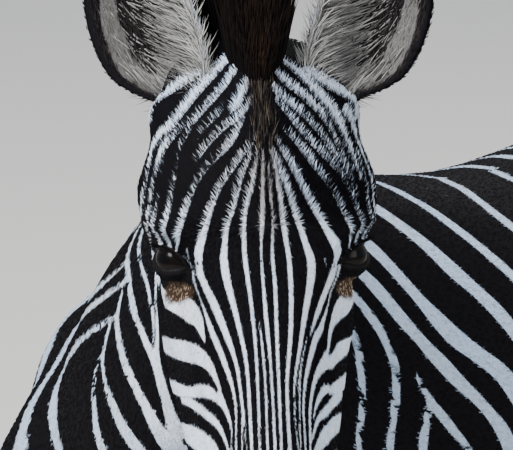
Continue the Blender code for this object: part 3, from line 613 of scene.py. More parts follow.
# the neck's middle line is a Bezier from the withers to the poll
neckLine = {"length": 550, "round": 1.9}
neckBase = trunkZero + Vector((0, -0.300, 0.980))
neckTop = onHead(0, -0.088, -0.150)
neckPoints = np.array(
    [
        neckBase,
        neckBase + Vector((0.020, -0.230, 0.120)),
        neckTop - headWay(0, 0.30, 0.95) * (0.165 * math.hypot(0.30, 0.95)),
        neckTop,
    ]
)


def neckAxes(t):
    t = np.asarray(t, float)[..., None]
    s = 1 - t
    a, b, c, d = neckPoints
    place = a * s**3 + b * 3 * s * s * t + c * 3 * s * t * t + d * t**3
    heading = unit((b - a) * s * s + (c - b) * 2 * s * t + (d - c) * t * t)
    up = np.array((0, 0.35, 0.94)) * s + np.array(headUp * 0.80 - headOut * 0.60) * t
    crest = unit(up - heading * (up * heading).sum(-1, keepdims=True))
    return place, unit(np.cross(crest, heading)), crest, heading


def neckChart(points):
    # share of the neck's length and degrees round it, 0 at the crest
    steps = np.linspace(-0.15, 1.25, 141)
    places, _, _, headings = neckAxes(steps)
    best, bestAt = np.full(len(points), 9.0), np.zeros(len(points))
    for step, place, heading in zip(steps, places, headings):
        away = points - place
        key = np.abs(away @ heading) + 0.15 * np.linalg.norm(away, axis=1)
        closer = key < best
        best[closer], bestAt[closer] = key[closer], step
    place, side, crest, heading = neckAxes(bestAt)
    bestAt = bestAt + ((points - place) * heading).sum(1) / (neckLine["length"] / 1000)
    place, side, crest, heading = neckAxes(bestAt)
    away = points - place
    turn = np.degrees(np.arctan2((away * side).sum(1), (away * crest).sum(1)))
    return bestAt, turn


def trunkChart(points):
    local = (points - np.array(trunkZero)) * 1000
    return np.degrees(np.arctan2(local[:, 0], local[:, 2] - 930)) * 4.4, local[:, 1]


throatPoint, throatWay = np.array(onHead(0, -0.118, -0.172)), np.array(headWay(0, -0.55, 0.835))


def headShare(points):
    # 1 on the head, 0 behind the plane where it joins the neck, and 0 on the trunk below
    away = points - np.array(faceMiddle)
    ahead = (points - throatPoint) @ throatWay
    inFront = smoothStep(-0.004, 0.004, ahead) * (dot(away, headOut) > -0.30)
    return inFront * (np.abs(dot(away, headSide)) < 0.17)


legNames = ("fore_left", "fore_right", "hind_left", "hind_right")


def legLines():
    # each leg's middle line down its own nodes
    lines = {}
    for leg in legNames:
        upper = ("forearm_" if "fore" in leg else "gaskin_") + leg.split("_")[1]
        rows = []
        for node in ("hoof_" + leg, "cannon_" + leg, upper):
            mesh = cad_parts[node].data
            points = np.empty(len(mesh.vertices) * 3)
            mesh.vertices.foreach_get("co", points)
            points = points.reshape(-1, 3)
            cuts = np.linspace(points[:, 2].min(), points[:, 2].max(), 7)
            for low, high in zip(cuts[:-1], cuts[1:]):
                near = points[(points[:, 2] >= low) & (points[:, 2] <= high)]
                if len(near) > 3:
                    rows.append(((low + high) / 2, *((near.min(0) + near.max(0)) / 2)[:2]))
        lines[leg] = np.array(sorted(rows))
    return lines


legMiddles = legLines()


def legTurn(points):
    # which leg is nearest, the way round it and how far it is from the leg's middle
    best, turn = np.full(len(points), 9.0), np.zeros(len(points))
    for rows in legMiddles.values():
        x = points[:, 0] - np.interp(points[:, 2], rows[:, 0], rows[:, 1])
        y = points[:, 1] - np.interp(points[:, 2], rows[:, 0], rows[:, 2])
        far = np.hypot(x, y)
        closer = far < best
        best[closer], turn[closer] = far[closer], np.arctan2(y, x)[closer]
    return turn, best


charts, rumpLevels = {}, []


def drawCharts(trunkTree):
    # nose lines run on down to the muzzle
    face = []
    for stroke in faceStrokes.values():
        stroke = [list(p) for p in stroke]
        for end in (0, -1):
            if stroke[end][1] > 165 and abs(stroke[end][0]) < 60:
                around, down, half = stroke[end]
                more = [[around * 0.95, 205, half * 0.95], [around * 0.85, 232, half * 0.5]]
                stroke = stroke + more if end == -1 else more[::-1] + stroke
        face.append(stroke)
    charts["face"] = paintChart(face, (-318, -270), (318, 350), 1.0)
    charts["islands"] = paintChart(faceIslands.values(), (-318, -270), (318, 350), 1.0)
    length, round_ = neckLine["length"], neckLine["round"]
    neck = []
    for t, half in neckRings:
        # below the middle the right side has its own strokes, so these rings stop short of it
        first = -200 if t > 0.76 else -42
        turns = np.linspace(first, 200, max(4, int((200 - first) / 25)))
        slim = [half * (1 - 0.35 * smoothStep(90, 160, abs(turn))) for turn in turns]
        dip = [5 * math.sin(turn / 40 + t * 9) * smoothStep(-120, -60, turn) for turn in turns]
        neck.append([(turn * round_, t * length + d, h) for turn, d, h in zip(turns, dip, slim)])
    for t, half in neckRingsLow:
        for turns in (range(-35, 201, 20), range(-200, -119, 20) if t < 0.3 else ()):
            if len(turns):
                waves = [6 * math.sin(turn / 35 + t * 9) for turn in turns]
                places = [(turn * round_, t * length + wave) for turn, wave in zip(turns, waves)]
                neck.append([(*place, half * 0.8) for place in places])
    for stroke in neckStrokes.values():
        neck.append([(turn * round_, t * length, half) for turn, t, half in stroke])
    charts["neck"] = paintChart(neck, (-200 * round_, -110), (200 * round_, 720), 1.5)
    # where the thighs' stripes reach the buttocks
    for stroke in (trunkStrokes["thigh" + str(k)] for k in (1, 2, 3, 4)):
        rise = np.interp(676, [p[0] for p in stroke[::-1]], [p[1] for p in stroke[::-1]])
        hit = trunkTree.ray_cast(trunkZero + Vector((1, 0.676, rise / 1000)), Vector((-1, 0, 0)), 1.0)[0]
        out = 150 if hit is None else (hit.x - trunkZero.x) * 1000
        rumpLevels.append(rise - 0.55 * (110 - out))
    rumpLevels.append(rumpLevels[0] + 95)
    for name, side in sides.items():
        trunk = []
        for index, (strokeName, stroke) in enumerate(trunkStrokes.items()):
            line = []
            for k, (y, z, half) in enumerate(throughPoints(stroke, 4)):
                if side < 0:  # the right side's stripes are its own
                    y += 9 * math.sin(index * 2.1 + z / 130)
                start = trunkZero + Vector((side, y / 1000, z / 1000))
                hit = trunkTree.ray_cast(start, Vector((-side, 0, 0)), 1.0)[0]
                half *= marks["trunkThin"] + 0.2 * smoothStep(150, 300, y)
                if hit is None or (k == 0 and "fork" not in strokeName):
                    line.append((0, y, half))
                else:
                    u, v = trunkChart(np.array([hit]))
                    line.append((side * abs(u[0]), v[0], half))
            if stroke[-1][1] < 730:  # the ribs' stripes run on under the belly
                line.append((side * 735, line[-1][1], line[-1][2] * 0.7))
            trunk.append(line)
        charts["trunk_" + name] = paintChart(trunk, (-800, -620), (800, 740), 2.5)


def paleField(points):
    # millimetres into the white, negative in the black
    points = np.asarray(points)
    local = (points - np.array(trunkZero)) * 1000
    head = headShare(points) > 0.5
    pale = np.full(len(points), -30.0)
    around, down = headChart(points)
    face = readChart(charts["face"], around, down)
    face = np.minimum(face, -readChart(charts["islands"], around, down))
    eachSide = smoothStep(-16, -45, around) * 1.25 + smoothStep(16, 45, around) * 0.7
    high = smoothStep(-20, -90, down) * eachSide
    face -= marks["faceThin"] + 1.5 * high * smoothStep(-215, -165, down)
    face = np.minimum(face, marks["muzzleFrom"] - down + 6 * np.sin(around / 17))
    t, degrees = neckChart(points)
    neck = readChart(charts["neck"], degrees * neckLine["round"], t * neckLine["length"])
    neck += 0.9 * ripple(points, 0.04)
    # behind the jaw's edge the neck's lines run on to the head
    face = np.where((np.abs(around) > 250) & (down < 150), neck, face)
    pale[head] = face[head]

    u, v = trunkChart(points)
    trunk = np.where(u > 0, readChart(charts["trunk_left"], u, v), readChart(charts["trunk_right"], u, v))
    trunk += 3.0 * smoothStep(760, 680, local[:, 2]) + 1.6 * ripple(points, 0.05)
    spine = np.abs(local[:, 0]) - marks["dorsalHalf"] * smoothStep(150, 350, local[:, 1])
    trunk = np.where((local[:, 2] > 1050) & (local[:, 1] > -420), np.minimum(trunk, spine), trunk)
    # a black line down the belly's middle
    belly = (local[:, 2] < 760) & (local[:, 1] > -330) & (local[:, 1] < 360)
    trunk = np.where(belly, np.minimum(trunk, np.abs(local[:, 0]) - 13), trunk)
    # level bars across the breast, in a shallow V
    rise = local[:, 2] - np.hypot(local[:, 0], 45) * 0.35
    step = marks["breastStep"]
    breast = step * (0.17 - np.abs((rise / step) % 1 - 0.5)) + 1.5 * ripple(points, 0.06)
    breast -= 11 * smoothStep(-480, -440, local[:, 1] + 14 * np.sin(rise / step * math.pi))
    trunk = np.where(local[:, 1] < -440 - 20 * ripple(points, 0.1), breast, trunk)
    # across the buttocks the thigh's stripes run on, rising to the tail
    lift = local[:, 2] - 0.55 * (110 - np.abs(local[:, 0]))
    rump = np.max([12 - np.abs(lift - middle) for middle in rumpLevels], axis=0)
    trunk = np.where(local[:, 1] > 676 + 5 * ripple(points, 0.1), rump + 1.5 * ripple(points, 0.05), trunk)

    # rings round the legs, closer together towards the hoof
    turn, far = legTurn(points)
    z = local[:, 2] / 1000 + 0.006 * np.sin(turn * 2) + 0.004 * ripple(points, 0.08) + 0.009 * np.sin(turn)
    first = marks["legStep"] / 1000
    wide = first + marks["legGrowth"] * (z - 0.1)
    count = np.log(np.maximum(wide, 0.004) / first) / marks["legGrowth"]
    rings = wide * 1000 * (marks["legPaleShare"] / 2 - np.abs(count % 1 - 0.5))
    rings = np.where(z < 0.086, -10, rings)
    fore, hind = smoothStep(-275, -310, local[:, 1]), smoothStep(300, 350, local[:, 1])
    legs = 650 + 92 * fore + 85 * hind + 30 * smoothStep(520, 600, local[:, 1]) + 10 * ripple(points, 0.1)
    body = np.where(local[:, 2] < legs, rings, trunk)

    # the neck, from the plane behind the jaw to the shoulders
    reach = 0.26 * smoothStep(np.where(degrees > 0, 40, 60), 14, np.abs(degrees))
    reach = reach + 0.2 * smoothStep(95, 125, np.abs(degrees))
    neckHere = (t > 0.30 - reach) & (local[:, 1] < -330) & (local[:, 2] > 960)
    rightNeck = (degrees < -30) & (t > 0.15) & (local[:, 1] < -330) & (local[:, 2] > 940)
    body = np.where(neckHere | rightNeck, neck, body)
    pale[~head] = body[~head]
    return pale


# the skin: the flesh nodes joined, sunk by the coat's depth, and worked into folds and lids
skinWork = {
    "voxel": 0.0096,
    "bodySmooth": 14,
    "headSmooth": 5,
    "bodyDepth": 0.0032,
    "headDepth": 0.0016,
    "headGrid": 0.0062,  # edges longer than this are divided on the head
    "faceGrid": 0.0031,  # on the front of the face
    "lidGrid": 0.0017,  # round the eyes, nostrils and mouth
}
fleshNodes = ["head", "muzzle", "neck", "chest", "barrel", "haunches"]
fleshNodes += [a + b for a in ("forearm_", "gaskin_") for b in sides] + ["cannon_" + leg for leg in legNames]


def readPoints(mesh):
    points = np.empty(len(mesh.vertices) * 3, np.float32)
    mesh.vertices.foreach_get("co", points)
    return points.reshape(-1, 3).astype(float)


def readNormals(mesh):
    normals = np.empty(len(mesh.vertices) * 3, np.float32)
    mesh.vertex_normals.foreach_get("vector", normals)
    return normals.reshape(-1, 3).astype(float)


def writePoints(mesh, points):
    mesh.vertices.foreach_set("co", points.astype(np.float32).ravel())
    mesh.update()


def onlySelect(*objects):
    bpy.ops.object.select_all(action="DESELECT")
    for each in objects:
        each.select_set(True)
    bpy.context.view_layer.objects.active = objects[0]


def copyNode(node, grow=0.0):
    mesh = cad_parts[node].data.copy()
    made = bpy.data.objects.new("copy_" + node, mesh)
    bpy.context.scene.collection.objects.link(made)
    mesh.materials.clear()
    bm = bmesh.new()
    bm.from_mesh(mesh)
    bmesh.ops.remove_doubles(bm, verts=bm.verts, dist=1e-5)
    bm.normal_update()
    for vert in bm.verts:
        vert.co += vert.normal * grow
    bm.to_mesh(mesh)
    bm.free()
    return made


def joined(name, objects):
    onlySelect(*objects)
    bpy.ops.object.join()
    made = bpy.context.object
    made.name = made.data.name = name
    return made


def applyModifier(piece, kind, **settings):
    onlySelect(piece)
    modifier = piece.modifiers.new(kind.lower(), kind)
    for key, value in settings.items():
        setattr(modifier, key, value)
    bpy.ops.object.modifier_apply(modifier=modifier.name)


def keepLargest(piece):
    bm = bmesh.new()
    bm.from_mesh(piece.data)
    left, shells = set(bm.verts), []
    while left:
        first = left.pop()
        shell, edge = {first}, [first]
        while edge:
            for link in edge.pop().link_edges:
                for vert in link.verts:
                    if vert in left:
                        left.discard(vert)
                        shell.add(vert)
                        edge.append(vert)
        shells.append(shell)
    shells.sort(key=len)
    for shell in shells[:-1]:
        bmesh.ops.delete(bm, geom=list(shell), context="VERTS")
    bm.to_mesh(piece.data)
    bm.free()


def relax(piece, rounds, strength, restore=-0.53):
    # smoothing that keeps the volume; strength is one number for each vertex
    mesh = piece.data
    edges = np.empty(len(mesh.edges) * 2, np.int32)
    mesh.edges.foreach_get("vertices", edges)
    a, b = edges.reshape(-1, 2).T
    points = readPoints(mesh)
    count = np.bincount(np.concatenate((a, b)), minlength=len(points))[:, None]
    for step in range(rounds * 2):
        total = np.empty_like(points)
        for axis in range(3):
            total[:, axis] = np.bincount(a, points[b, axis], len(points))
            total[:, axis] += np.bincount(b, points[a, axis], len(points))
        share = 0.5 if step % 2 == 0 else restore
        points += (total / count - points) * share * strength[:, None]
    writePoints(mesh, points)


def refine(piece, wanted, longest):
    # divide edges longer than this where wanted, then ease the new points into the curve
    bm = bmesh.new()
    bm.from_mesh(piece.data)
    points = np.array([v.co for v in bm.verts])
    chosen = wanted(points)
    edges = [e for e in bm.edges if all(chosen[v.index] for v in e.verts) and e.calc_length() > longest]
    bmesh.ops.subdivide_edges(bm, edges=edges, cuts=1, use_grid_fill=True, smooth=0.6)
    bmesh.ops.triangulate(bm, faces=[f for f in bm.faces if len(f.verts) > 4])
    bm.to_mesh(piece.data)
    bm.free()
    relax(piece, 1, wanted(readPoints(piece.data)).astype(float) * 0.8)


def headMeasure(points):
    away = points - np.array(faceMiddle)
    return dot(away, headSide), dot(away, headUp), dot(away, headOut)


def nearHead(points):
    side, up, out = headMeasure(points)
    return (out > -0.27) & (out < 0.1) & (up > -0.36) & (up < 0.24) & (np.abs(side) < 0.15)


eyeWork = {
    "radius": 0.0210,
    "side": 0.0790,
    "down": -0.011,
    "deep": -0.056,
    # how far the gaze turns to the side, ahead and up
    "out": 0.70,
    "forward": 0.66,
    "up": 0.06,
}


def eyeAxes(side):
    # the eye's middle, its gaze, and along and up the lids
    middle = np.array(onHead(side * eyeWork["side"], eyeWork["down"], eyeWork["deep"]))
    gaze = np.array(headWay(side * eyeWork["out"], eyeWork["up"], eyeWork["forward"]))
    # the inner corner sits lower and nearer the nose
    along = np.array(headWay(-side * 0.60, -0.42, 0.68))
    along = unit(along - gaze * (along @ gaze))
    over = np.cross(along, gaze) * (1 if np.cross(along, gaze) @ np.array(headUp) > 0 else -1)
    return middle, gaze, along, over


nostrilWork = {"side": 0.050, "down": 0.296, "deep": -0.062, "long": 0.017, "half": 0.0075, "depth": 0.016}
# down and deep, seen from the side
mouthLine = ((0.322, -0.112), (0.300, -0.121), (0.275, -0.127), (0.252, -0.128))


def nostrilPlaces(tree):
    made = {}
    for side in sides.values():
        near = onHead(side * nostrilWork["side"], nostrilWork["down"], nostrilWork["deep"])
        place, normal, _, _ = tree.find_nearest(near)
        normal = np.array(normal)
        along = np.array(headWay(side * 0.35, 0.55, -0.55))
        along = unit(along - normal * (along @ normal))
        made[side] = (np.array(place), normal, along, np.cross(normal, along) * side)
    return made


def fromMouth(up, out):
    # distance to the line of the mouth, seen from the side
    far = np.full(len(up), 1.0)
    for (d0, o0), (d1, o1) in zip(mouthLine[:-1], mouthLine[1:]):
        along = (-up - d0) * (d1 - d0) + (out - o0) * (o1 - o0)
        share = np.clip(along / ((d1 - d0) ** 2 + (o1 - o0) ** 2), 0, 1)
        far = np.minimum(far, np.hypot(-up - d0 - share * (d1 - d0), out - o0 - share * (o1 - o0)))
    return far


def fineWork(points):
    # close to the eyes, nostrils and mouth
    near = np.zeros(len(points), bool)
    for side in sides.values():
        near |= np.linalg.norm(points - eyeAxes(side)[0] - eyeAxes(side)[1] * 0.012, axis=1) < 0.030
        near |= np.linalg.norm(points - nostrils[side][0], axis=1) < 0.026
    side, up, out = headMeasure(points)
    near |= (fromMouth(up, out) < 0.007) & (np.abs(side) < 0.06)
    return near & nearHead(points)


def unwrapPart(piece):
    onlySelect(piece)
    bpy.ops.object.mode_set(mode="EDIT")
    bpy.ops.mesh.select_all(action="SELECT")
    bpy.ops.uv.smart_project(angle_limit=1.15, island_margin=0.002)
    bpy.ops.object.mode_set(mode="OBJECT")
    piece.data.uv_layers[0].name = "OFBake"


def treeOf(piece):
    bm = bmesh.new()
    bm.from_mesh(piece.data)
    made = BVHTree.FromBMesh(bm)
    bm.free()
    return made


# where the right shoulder is eased in and the neck runs into the withers without a dip
shoulderWork = {
    "hump": (-0.24, -0.46, 1.12),
    "humpReach": 0.11,
    "push": (0.0075, 0.0065, -0.0065),
    "dip": (-0.20, -0.44, 1.17),
    "dipReach": 0.12,
    "dipTurns": 40,
}
copies = [copyNode(node, 0.0006) for node in fleshNodes] + [copyNode("eye_" + name, -0.001) for name in sides]
skin = joined("skin", copies)
applyModifier(skin, "REMESH", mode="VOXEL", voxel_size=skinWork["voxel"], adaptivity=0)
keepLargest(skin)
skinPoints = readPoints(skin.data)
onHeadNow = nearHead(skinPoints).astype(float)
legNow = (skinPoints[:, 2] < 0.62).astype(float)
relax(skin, skinWork["bodySmooth"], 1 - onHeadNow * 0.75 - legNow * 0.6)
relax(skin, skinWork["headSmooth"], onHeadNow)
skinPoints = readPoints(skin.data)
fromHump = np.linalg.norm(skinPoints - shoulderWork["hump"], axis=1)
hump = np.exp(-((fromHump / shoulderWork["humpReach"]) ** 2))
writePoints(skin.data, skinPoints + hump[:, None] * np.array(shoulderWork["push"]))
fromDip = np.linalg.norm(skinPoints - shoulderWork["dip"], axis=1)
relax(skin, shoulderWork["dipTurns"], np.exp(-((fromDip / shoulderWork["dipReach"]) ** 2)))
print("skin has", len(skin.data.polygons), "faces")
trunkTree = treeOf(skin)
drawCharts(trunkTree)
print("marks are drawn")

# an unwrap of the skin's own shape, which the coat's roots share
unwrapPart(skin)

skinPoints, skinNormals = readPoints(skin.data), readNormals(skin.data)
sink = skinWork["bodyDepth"] + (skinWork["headDepth"] - skinWork["bodyDepth"]) * nearHead(skinPoints)
writePoints(skin.data, skinPoints - skinNormals * sink[:, None])
refine(skin, nearHead, skinWork["headGrid"])


def faceFront(points):
    side, up, out = headMeasure(points)
    around = np.abs(np.arctan2(side, out + 0.1)) * 100
    return nearHead(points) & (around < 125) & (up < 0.19)


refine(skin, faceFront, skinWork["faceGrid"])
nostrils = nostrilPlaces(treeOf(skin))
refine(skin, fineWork, skinWork["lidGrid"])
print("skin has", len(skin.data.polygons), "faces after refining")

lidWork = {
    "halfLong": 62,  # degrees from the middle of the opening to its corners
    "upper": 21,
    "lower": 25,
    "rim": 0.0009,
    "roll": 0.0034,  # thickness of the lid behind its rim
    "hidden": 0.0030,
    "crease": 0.0016,
    "brow": 0.0040,
}


def bump(value, centre, width):
    return np.exp(-(((value - centre) / width) ** 2))


def shapeLids(points):
    bare = np.zeros(len(points))
    radius = eyeWork["radius"]
    for side in sides.values():
        middle, gaze, along, over = eyeAxes(side)
        away = points - middle
        far = np.linalg.norm(away, axis=1)
        way = away / np.maximum(far, 1e-9)[:, None]
        ahead, right, up = way @ gaze, way @ along, way @ over
        across = np.degrees(np.arctan2(right, ahead))
        height = np.degrees(np.arcsin(np.clip(up, -1, 1)))
        open_ = np.clip(1 - (across / lidWork["halfLong"]) ** 2, -0.6, 1)
        # the upper lid is fullest ahead of its middle, the lower lid is flatter
        upper = lidWork["upper"] * open_ * (1 + 0.10 * np.sin(np.radians(across * 1.5)))
        lower = -lidWork["lower"] * open_
        outside = np.maximum(height - upper, lower - height)
        near = (ahead > 0.0) & (far < radius + 0.022)
        reach = smoothStep(32, 12, outside) * smoothStep(0.05, 0.30, ahead)
        lid = radius + lidWork["rim"] + (lidWork["roll"] - lidWork["rim"]) * smoothStep(0, 9, outside)
        above = height > (upper + lower) / 2
        lid -= lidWork["crease"] * bump(outside, np.where(above, 13, 11), 3.0)
        lid += lidWork["brow"] * bump(outside, 21, 7) * above
        lid -= lidWork["crease"] * 0.6 * bump(outside, 20, 3.0) * ~above
        lid += 0.0012 * bump(outside, 15, 3.5) * ~above
        inside = smoothStep(1.5, -3.5, outside)
        wanted = np.where(outside < 0, lid - inside * (lidWork["hidden"] + lidWork["rim"]), lid)
        # the skin round the opening never lies under the eyeball
        cover = np.where(outside > 0, np.maximum(far, radius + 0.0016), far)
        moved = cover + (wanted - cover) * np.where(near, reach, 0)
        points = np.where(near[:, None], middle + way * moved[:, None], points)
        bare = np.maximum(bare, np.where(near, smoothStep(13, 9, outside), 0))
    return points, bare


def shapeNostrils(points):
    bare = np.zeros(len(points))
    long_, half = nostrilWork["long"], nostrilWork["half"]
    for side, (place, normal, along, across) in nostrils.items():
        away = points - place
        u, v, w = away @ along, away @ across, away @ normal
        v = v + 0.35 * u * u / long_  # a comma, curled round its lower end
        ring = np.hypot(u / long_, v / (half * (1.15 - 0.35 * u / long_)))
        here = np.abs(w) < 0.03
        hollow = nostrilWork["depth"] * smoothStep(1.0, 0.35, ring)
        rim = 0.0022 * bump(ring, 1.28, 0.25)
        points = points + normal * (np.where(here, rim - hollow, 0))[:, None]
        bare = np.maximum(bare, np.where(here, smoothStep(1.25, 1.0, ring), 0))
    return points, bare


def shapeMouth(points, normals):
    side, up, out = headMeasure(points)
    far = np.where(nearHead(points) & (np.abs(side) < 0.07), fromMouth(up, out), 1.0)
    push = -0.0042 * bump(far, 0, 0.0018) + 0.0012 * bump(far, 0.0052, 0.0026)
    return points + normals * push[:, None], smoothStep(0.0035, 0.0015, far)


def faceForms(points, normals):
    # bone and muscle under the skin: cheek ridge, brow, vein, wrinkles over the eye and lips
    side, up, out = headMeasure(points)
    around, down = np.abs(np.arctan2(side, out + 0.1)) * 100, -up * 1000
    push = 0.0020 * bump(around - 98 + 0.10 * (down - 60), 0, 9)
    push = push * smoothStep(10, 40, down) * smoothStep(150, 90, down)
    push -= 0.0016 * bump(around, 100, 10) * bump(down, -58, 16)  # hollow over the eye
    vein = bump(around - 84 - 0.22 * (down - 100), 0, 3.5)
    push += 0.0012 * vein * smoothStep(70, 110, down) * smoothStep(210, 160, down)
    wrinkles = np.sin(down / 2.1 + around / 9) * smoothStep(262, 276, down) * smoothStep(330, 310, down)
    push += 0.0003 * wrinkles * smoothStep(30, 60, around)
    push += 0.0005 * ripple(points, 0.012) * smoothStep(250, 280, down)
    return points + normals * (np.where(nearHead(points), push, 0))[:, None]


skinPoints = faceForms(readPoints(skin.data), readNormals(skin.data))
skinPoints, mouthBare = shapeMouth(skinPoints, readNormals(skin.data))
skinPoints, nostrilBare = shapeNostrils(skinPoints)
skinPoints, lidBare = shapeLids(skinPoints)
writePoints(skin.data, skinPoints)
skinBare = np.maximum(np.maximum(mouthBare, nostrilBare), lidBare)


def warmField(points):
    # brown patches under the eyes and a brown fringe round the muzzle
    around, down = headChart(points)
    warm = smoothStep(1.15, 0.85, np.hypot((np.abs(around) - 113) / 33, (down - 18.5) / 9.5))
    warm = np.maximum(warm, 0.7 * bump(down, 236, 12) * (np.abs(around) < 90))
    return np.where(headShare(points) > 0.5, warm, 0)


def tanField(points):
    # pale hair turned fawn up the middle of the forehead and at the forelock's foot
    around, down = headChart(points)
    tan = bump(around, 0, 16) * smoothStep(30, -70, down) * 0.75
    tan = tan + 0.9 * bump(around, 0, 9) * smoothStep(-95, -140, down)
    return np.where(headShare(points) > 0.5, np.clip(tan, 0, 1), 0)


def fadeField(points):
    # painted shade: 0 on the face, whose white is painted brightest, and 1 on the trunk, whose white is
    # painted as a darker shaded copy
    t, _ = neckChart(points)
    _, down = headChart(points)
    onFace, onNeck = 0.4 * smoothStep(-60, -150, down), 1 - 0.5 * smoothStep(0.2, 0.7, t)
    return np.where(headShare(points) > 0.5, onFace, onNeck)


def setFloat(mesh, name, values):
    layer = mesh.attributes.new(name, "FLOAT", "POINT")
    layer.data.foreach_set("value", np.asarray(values, np.float32))


def fuzzField(points):
    # how far the hairs carry one colour over the other, in millimetres
    _, down = headChart(points)
    return np.where(headShare(points) > 0.5, 1.0 + 2.5 * smoothStep(10, -60, down), 1.6)


# ears: a cupped leaf with a rolled edge, its inside furred
earWork = {
    "wall": 0.0042,
    "lean": {1: 12, -1: 7},
    "turn": {1: 8, -1: 28},
    "side": 0.074,
    "up": 0.165,
    "deep": -0.052,
    # height, half width, cup, outward
    "rows": (
        (-0.020, 0.018, 0.022, -0.002),
        (0.000, 0.027, 0.036, 0.000),
        (0.012, 0.039, 0.048, 0.007),
        (0.030, 0.050, 0.050, 0.016),
        (0.055, 0.0545, 0.046, 0.022),
        (0.085, 0.0555, 0.039, 0.026),
        (0.115, 0.052, 0.030, 0.027),
        (0.145, 0.042, 0.020, 0.025),
        (0.168, 0.030, 0.012, 0.022),
        (0.184, 0.015, 0.005, 0.019),
        (0.1885, 0.003, 0.002, 0.018),
    ),
}


def earFrame(side):
    base = onHead(side * earWork["side"], -earWork["up"], earWork["deep"])
    axes = Matrix((headSide, headUp, headOut)).transposed()
    lean = Matrix.Rotation(math.radians(-side * earWork["lean"][side]), 3, "Z")
    turn = Matrix.Rotation(math.radians(side * earWork["turn"][side]), 3, "Y")
    return base, axes @ lean @ turn


earRows = throughPoints(earWork["rows"], 4)
earColumns = 25


def earPoint(side, row, along, layer):
    height, half, cup, outward = row
    wall = min(earWork["wall"], half * 0.5)
    across = along * (half - wall * layer) + outward
    # the inner edge folds forward near the base, the outer edge curls a little
    curl = 0.10 * cup * along**6
    deep = -cup * (1 - along * along) - curl + wall * layer * (1.2 - abs(along))
    base, turn = earFrame(side)
    return base + turn @ Vector((side * across, height, deep))


def objectOf(bm, name):
    bmesh.ops.recalc_face_normals(bm, faces=bm.faces)
    mesh = bpy.data.meshes.new(name)
    bm.to_mesh(mesh)
    bm.free()
    made = bpy.data.objects.new(name, mesh)
    bpy.context.scene.collection.objects.link(made)
    return made


def makeEar(side):
    bm = bmesh.new()
    facts = []
    grid = []
    for layer in (0, 1):
        rows = []
        for row in earRows:
            line = []
            for k in range(earColumns):
                along = k / (earColumns - 1) * 2 - 1
                line.append(bm.verts.new(earPoint(side, row, along, layer)))
                facts.append((row[0], along, layer))
            rows.append(line)
        grid.append(rows)
    for layer in (0, 1):
        for low, high in zip(grid[layer][:-1], grid[layer][1:]):
            for k in range(earColumns - 1):
                bm.faces.new((low[k], low[k + 1], high[k + 1], high[k]))
    for k in (0, earColumns - 1):
        for r in range(len(earRows) - 1):
            bm.faces.new((grid[0][r][k], grid[0][r + 1][k], grid[1][r + 1][k], grid[1][r][k]))
    for r in (0, len(earRows) - 1):
        for k in range(earColumns - 1):
            bm.faces.new((grid[0][r][k], grid[0][r][k + 1], grid[1][r][k + 1], grid[1][r][k]))
    return objectOf(bm, "ear_skin"), np.array(facts)


def earPale(facts, points):
    # outside: a pale base, a wide black band and a pale tip
    # inside: grey fur, its grey partly painted shade of the ear's cup, with a black rim on the outer edge
    height, along, layer = facts[:, 0] * 1000, facts[:, 1], facts[:, 2]
    outside = np.maximum(24 - np.abs(height - 14), 9 - np.abs(height - 62))
    half = np.interp(height / 1000, [r[0] for r in earWork["rows"]], [r[1] for r in earWork["rows"]]) * 1000
    outside = np.maximum(outside, height - 176) + 2 * ripple(points, 0.03)
    outside = np.where(height < 168, np.minimum(outside, (1 - along) * half - 9), outside)
    edge = 5.5 + 7 * smoothStep(40, 150, height)
    inside = (1 - along) * half - edge
    # a pale band inside the rim and pale fur along the inner edge, with the hollow between them painted dark
    # as shade
    hollow = np.maximum(np.minimum(inside, 22 - (1 - along) * half), 20 - (1 + along) * half)
    inside = np.where(height < 150, np.minimum(inside, hollow + 3 * ripple(points, 0.015)), inside)
    return np.where(layer > 0.5, inside, outside)


# dock of the tail, banded as the rump is
tailWork = {
    "root": (0.0, 0.672, 1.150),
    # distance behind the root, rise, half width, half depth
    "rows": (
        (-0.030, 0.005, 0.031, 0.027),
        (0.022, -0.010, 0.028, 0.024),
        (0.058, -0.080, 0.0215, 0.0185),
        (0.066, -0.210, 0.0165, 0.0145),
        (0.064, -0.310, 0.0150, 0.0130),
        (0.062, -0.390, 0.0120, 0.0105),
        (0.061, -0.450, 0.0070, 0.0060),
    ),
    "locks": 620,
}


def makeDock():
    rows = throughPoints(tailWork["rows"], 8)
    bm = bmesh.new()
    rings = []
    root = trunkZero + Vector(tailWork["root"])
    for k, (back, rise, halfWide, halfDeep) in enumerate(rows):
        before, after = rows[max(k - 1, 0)], rows[min(k + 1, len(rows) - 1)]
        heading = Vector((0, after[0] - before[0], after[1] - before[1])).normalized()
        deep = heading.cross(Vector((1, 0, 0)))
        middle = root + Vector((0, back, rise))
        ring = []
        for n in range(20):
            turn = 2 * math.pi * n / 20
            across = Vector((math.cos(turn) * halfWide, 0, 0))
            ring.append(bm.verts.new(middle + across + deep * (math.sin(turn) * halfDeep)))
        rings.append(ring)
    for low, high in zip(rings[:-1], rings[1:]):
        for n in range(20):
            bm.faces.new((low[n], low[(n + 1) % 20], high[(n + 1) % 20], high[n]))
    bm.faces.new(rings[0])
    bm.faces.new(rings[-1])
    return objectOf(bm, "dock_skin")


def dockPale(points):
    z = points[:, 2] * 1000
    rings = 34 * (0.24 - np.abs((z / 34) % 1 - 0.5))
    side = np.abs(points[:, 0] - trunkZero.x) * 1000 - 6
    return np.minimum(rings, np.where(z > 900, side, rings))


# every part of the skin carries its marks before they are joined
def markSkin(piece, pale, fuzz, warm, tan, bare, zone, bodyShadeShare):
    names = ("pale", "fuzz", "warm", "tan", "bare", "zone", "bodyShadeShare")
    for markName, values in zip(names, (pale, fuzz, warm, tan, bare, zone, bodyShadeShare)):
        setFloat(piece.data, markName, np.broadcast_to(values, len(piece.data.vertices)))


